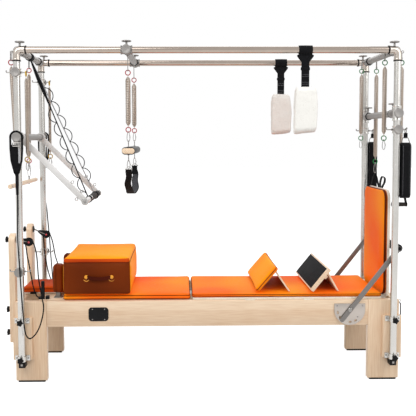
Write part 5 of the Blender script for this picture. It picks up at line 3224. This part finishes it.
@dataclass
class JumpBoard:
    """The jump board in its slot: a tall pad on a pale panel with a tongue."""

    shop: Workshop
    face: float = 1.111
    pad: float = 0.032
    panel: float = 0.016
    half: float = 0.24
    bottom: float = 0.514
    top: float = 1.192
    corner: float = 0.06
    tongue_half: float = 0.2
    tongue_foot: float = 0.4503

    def build(self) -> None:
        """Build the pad, the panel and the strap loop behind its top."""
        seat = Matrix(((0, 0, -1, self.face + self.pad), (0, 1, 0, 0), (1, 0, 0, self.bottom), (0, 0, 0, 1)))
        Cushion(
            self.shop, "jump_cushion", "jump_board", (self.top - self.bottom, 2 * self.half, self.pad), seat,
            (VINYL, VINYL_DARK), corner=self.corner, cover=Cover.DARK_SIDES, nodes=["jump_board"]).build()
        near, far = self.face + self.pad, self.face + self.pad + self.panel
        outline = [
            *arc(self.half - self.corner, self.top - self.corner, self.corner, 0, 90, 12),
            *arc(self.corner - self.half, self.top - self.corner, self.corner, 90, 180, 12),
            (-self.half, self.bottom), (-self.tongue_half, self.bottom),
            (-self.tongue_half, self.tongue_foot), (self.tongue_half, self.tongue_foot),
            (self.tongue_half, self.bottom), (self.half, self.bottom),
        ]
        panel = Form.plate(outline, Axis.X, near, far, edge=0.0025)
        self.shop.piece("jump_panel", panel, "jump_board", BIRCH)
        top = self.top
        line = through([
            xyz(far + 0.0022, 0, top - 0.07), xyz(far + 0.003, 0, top), xyz(far + 0.006, 0, top + 0.045),
            xyz(far + 0.018, 0, top + 0.072), xyz(far + 0.033, 0, top + 0.062),
            xyz(far + 0.033, 0, top + 0.035), xyz(far + 0.018, 0, top + 0.002),
            xyz(far + 0.0075, 0, top - 0.04), xyz(far + 0.0065, 0, top - 0.07),
        ], 4)
        loop = Form.band([(place.x, place.z) for place in line], Axis.Y, -0.01, 0.03, 0.0032)
        self.shop.piece("jump_board_strap", loop, "jump_board", WEB)


@dataclass
class FootBar:
    """The foot bar: two notched half-disc brackets, two flat arms and a padded grip."""

    shop: Workshop
    hardware: Hardware
    place: float = 0.888
    pivot: float = 0.45
    reach: float = 0.488
    angle: float = 52.0
    tail: float = 0.08
    grip: float = 0.025
    arm_width: float = 0.028
    arm_inner: float = 0.3298
    arm_outer: float = 0.3418
    bracket_radius: float = 0.097
    bracket_centre: float = 0.449
    bracket_top: float = 0.488
    bracket_inner: float = 0.3223
    bracket_outer: float = 0.3283
    hole: float = 0.0055
    pivot_hole: float = 0.0082
    notches: tuple[float, ...] = (193.0, 219.0, 272.0, 298.0)
    notch_stretch: float = 1.7
    soft_half: float = 0.292
    screws: tuple[Pair, ...] = ((-0.08, -0.014), (0.08, -0.014), (0.05, -0.085))

    @property
    def way(self) -> Vector:
        """The direction in which the arms rise."""
        angle = math.radians(self.angle)
        return xyz(math.cos(angle), 0, math.sin(angle))

    def build(self) -> None:
        """Build the brackets and the bar."""
        for side in Side:
            self.bracket(side)
        self.bar()

    def bracket(self, side: Side) -> None:
        """Build a bracket with its row of notch holes, pin and screws.

        Args:
            side: The side of the table.
        """
        s = side.value
        outline = [
            (self.place - self.bracket_radius, self.bracket_top),
            *arc(self.place, self.bracket_centre, self.bracket_radius, 180, 360, 36),
            (self.place + self.bracket_radius, self.bracket_top),
        ]
        row = self.bracket_radius - 0.02
        holes = []
        for degrees in self.notches:
            angle = math.radians(degrees)
            a, b = self.place + row * math.cos(angle), self.bracket_centre + row * math.sin(angle)
            holes.append([
                (
                    a + u * self.notch_stretch * math.sin(angle) - v * math.cos(angle),
                    b - u * self.notch_stretch * math.cos(angle) - v * math.sin(angle))
                for u, v in arc(0, 0, self.hole, 360, 0, 20)[:-1]
            ])
        plate = Form.plate(
            outline, Axis.Y, s * self.bracket_inner, s * self.bracket_outer, holes=holes, edge=0.0009)
        name = side.label
        self.shop.piece(f"half_disc_{name}", plate, "frame", BRACKET, nodes=[f"foot_bar_bracket_{name}"])
        spot = xyz(self.place, s * self.bracket_outer, self.pivot)
        out = xyz(0, s, 0)
        pin = Form.rod(spot - out * 0.001, spot + out * 0.0145, 0.0078, 28)
        pin.joined(Form.turned([
            (0, 0), (0.014, 0), (0.014, 0.0035), (0.0115, 0.0055), (0, 0.006),
        ], spot + out * 0.0138, out, 32))
        for x, z in self.screws:
            pin.joined(self.hardware.nut(
                xyz(self.place + x, s * self.bracket_outer, self.bracket_top + z) - out * 0.0005, out, 0.0055,
                0.0016))
        self.shop.piece(f"foot_bar_pin_{name}", pin, "frame", BRIGHT)

    def bar(self) -> None:
        """Build the two arms and the grip with its black ends."""
        pivot = xyz(self.place, 0, self.pivot)
        top, low = pivot + self.way * self.reach, pivot - self.way * self.tail
        arms = []
        for side in Side:
            s = side.value
            outline = slot_outline((low.x, low.z), (top.x, top.z), self.arm_width, 12)
            hole = arc(pivot.x, pivot.z, self.pivot_hole, 360, 0, 20)[:-1]
            arms.append(Form.plate(
                outline, Axis.Y, s * self.arm_inner, s * self.arm_outer, holes=[hole], edge=0.0012))
        self.shop.piece("foot_bar_arms", several(arms), "foot_bar", FOOT_TUBE)
        half = self.arm_inner + 0.001
        soft = self.soft_half
        foam = Form.turned([
            (0, 0), (self.grip - 0.003, 0), (self.grip, 0.004), (self.grip, 2 * soft - 0.004),
            (self.grip - 0.003, 2 * soft), (0, 2 * soft),
        ], xyz(top.x, -soft, top.z), (0, 1, 0), 48)
        self.shop.piece("foot_bar_grip", foam, "foot_bar", FOAM, nodes=["foot_bar"])
        caps = []
        for side in Side:
            s = side.value
            caps.append(Form.turned([
                (0, 0), (self.grip - 0.002, 0), (self.grip - 0.0005, 0.002),
                (self.grip - 0.0005, half - soft - 0.004), (self.grip - 0.004, half - soft), (0, half - soft),
            ], xyz(top.x, s * (soft - 0.0005), top.z), (0, s, 0), 44))
            caps.append(Form.turned([
                (0, 0), (0.0115, 0), (0.0125, 0.0012), (0.011, 0.0045), (0, 0.005),
            ], xyz(top.x, s * self.arm_outer - s * 0.0006, top.z), (0, s, 0), 28))
        self.shop.piece("foot_bar_ends", several(caps), "foot_bar", RUBBER)


def main() -> None:
    """Build the table, piece by piece."""
    logging.basicConfig(level=logging.INFO, format="%(message)s")
    noise.seed_set(NOISE_SEED)
    Studio().build()
    shop = Workshop()
    hardware = Hardware(shop)
    pulleys = Pulleys(shop, hardware)
    pulleys.ropes()
    for assembly in (
        Bed(shop, hardware), Tower(shop, hardware), PushBar(shop, hardware), RollDown(shop, hardware),
        Trapeze(shop, hardware), FootEnd(shop, hardware), FleeceCuffs(shop, hardware), pulleys,
        Carriage(shop, hardware), LongMat(shop), SittingBox(shop), Props(shop), JumpBoard(shop),
        FootBar(shop, hardware),
    ):
        assembly.build()
        log.info("%s finished, %d pieces so far", type(assembly).__name__, shop.count)


if __name__ == "__main__":
    main()
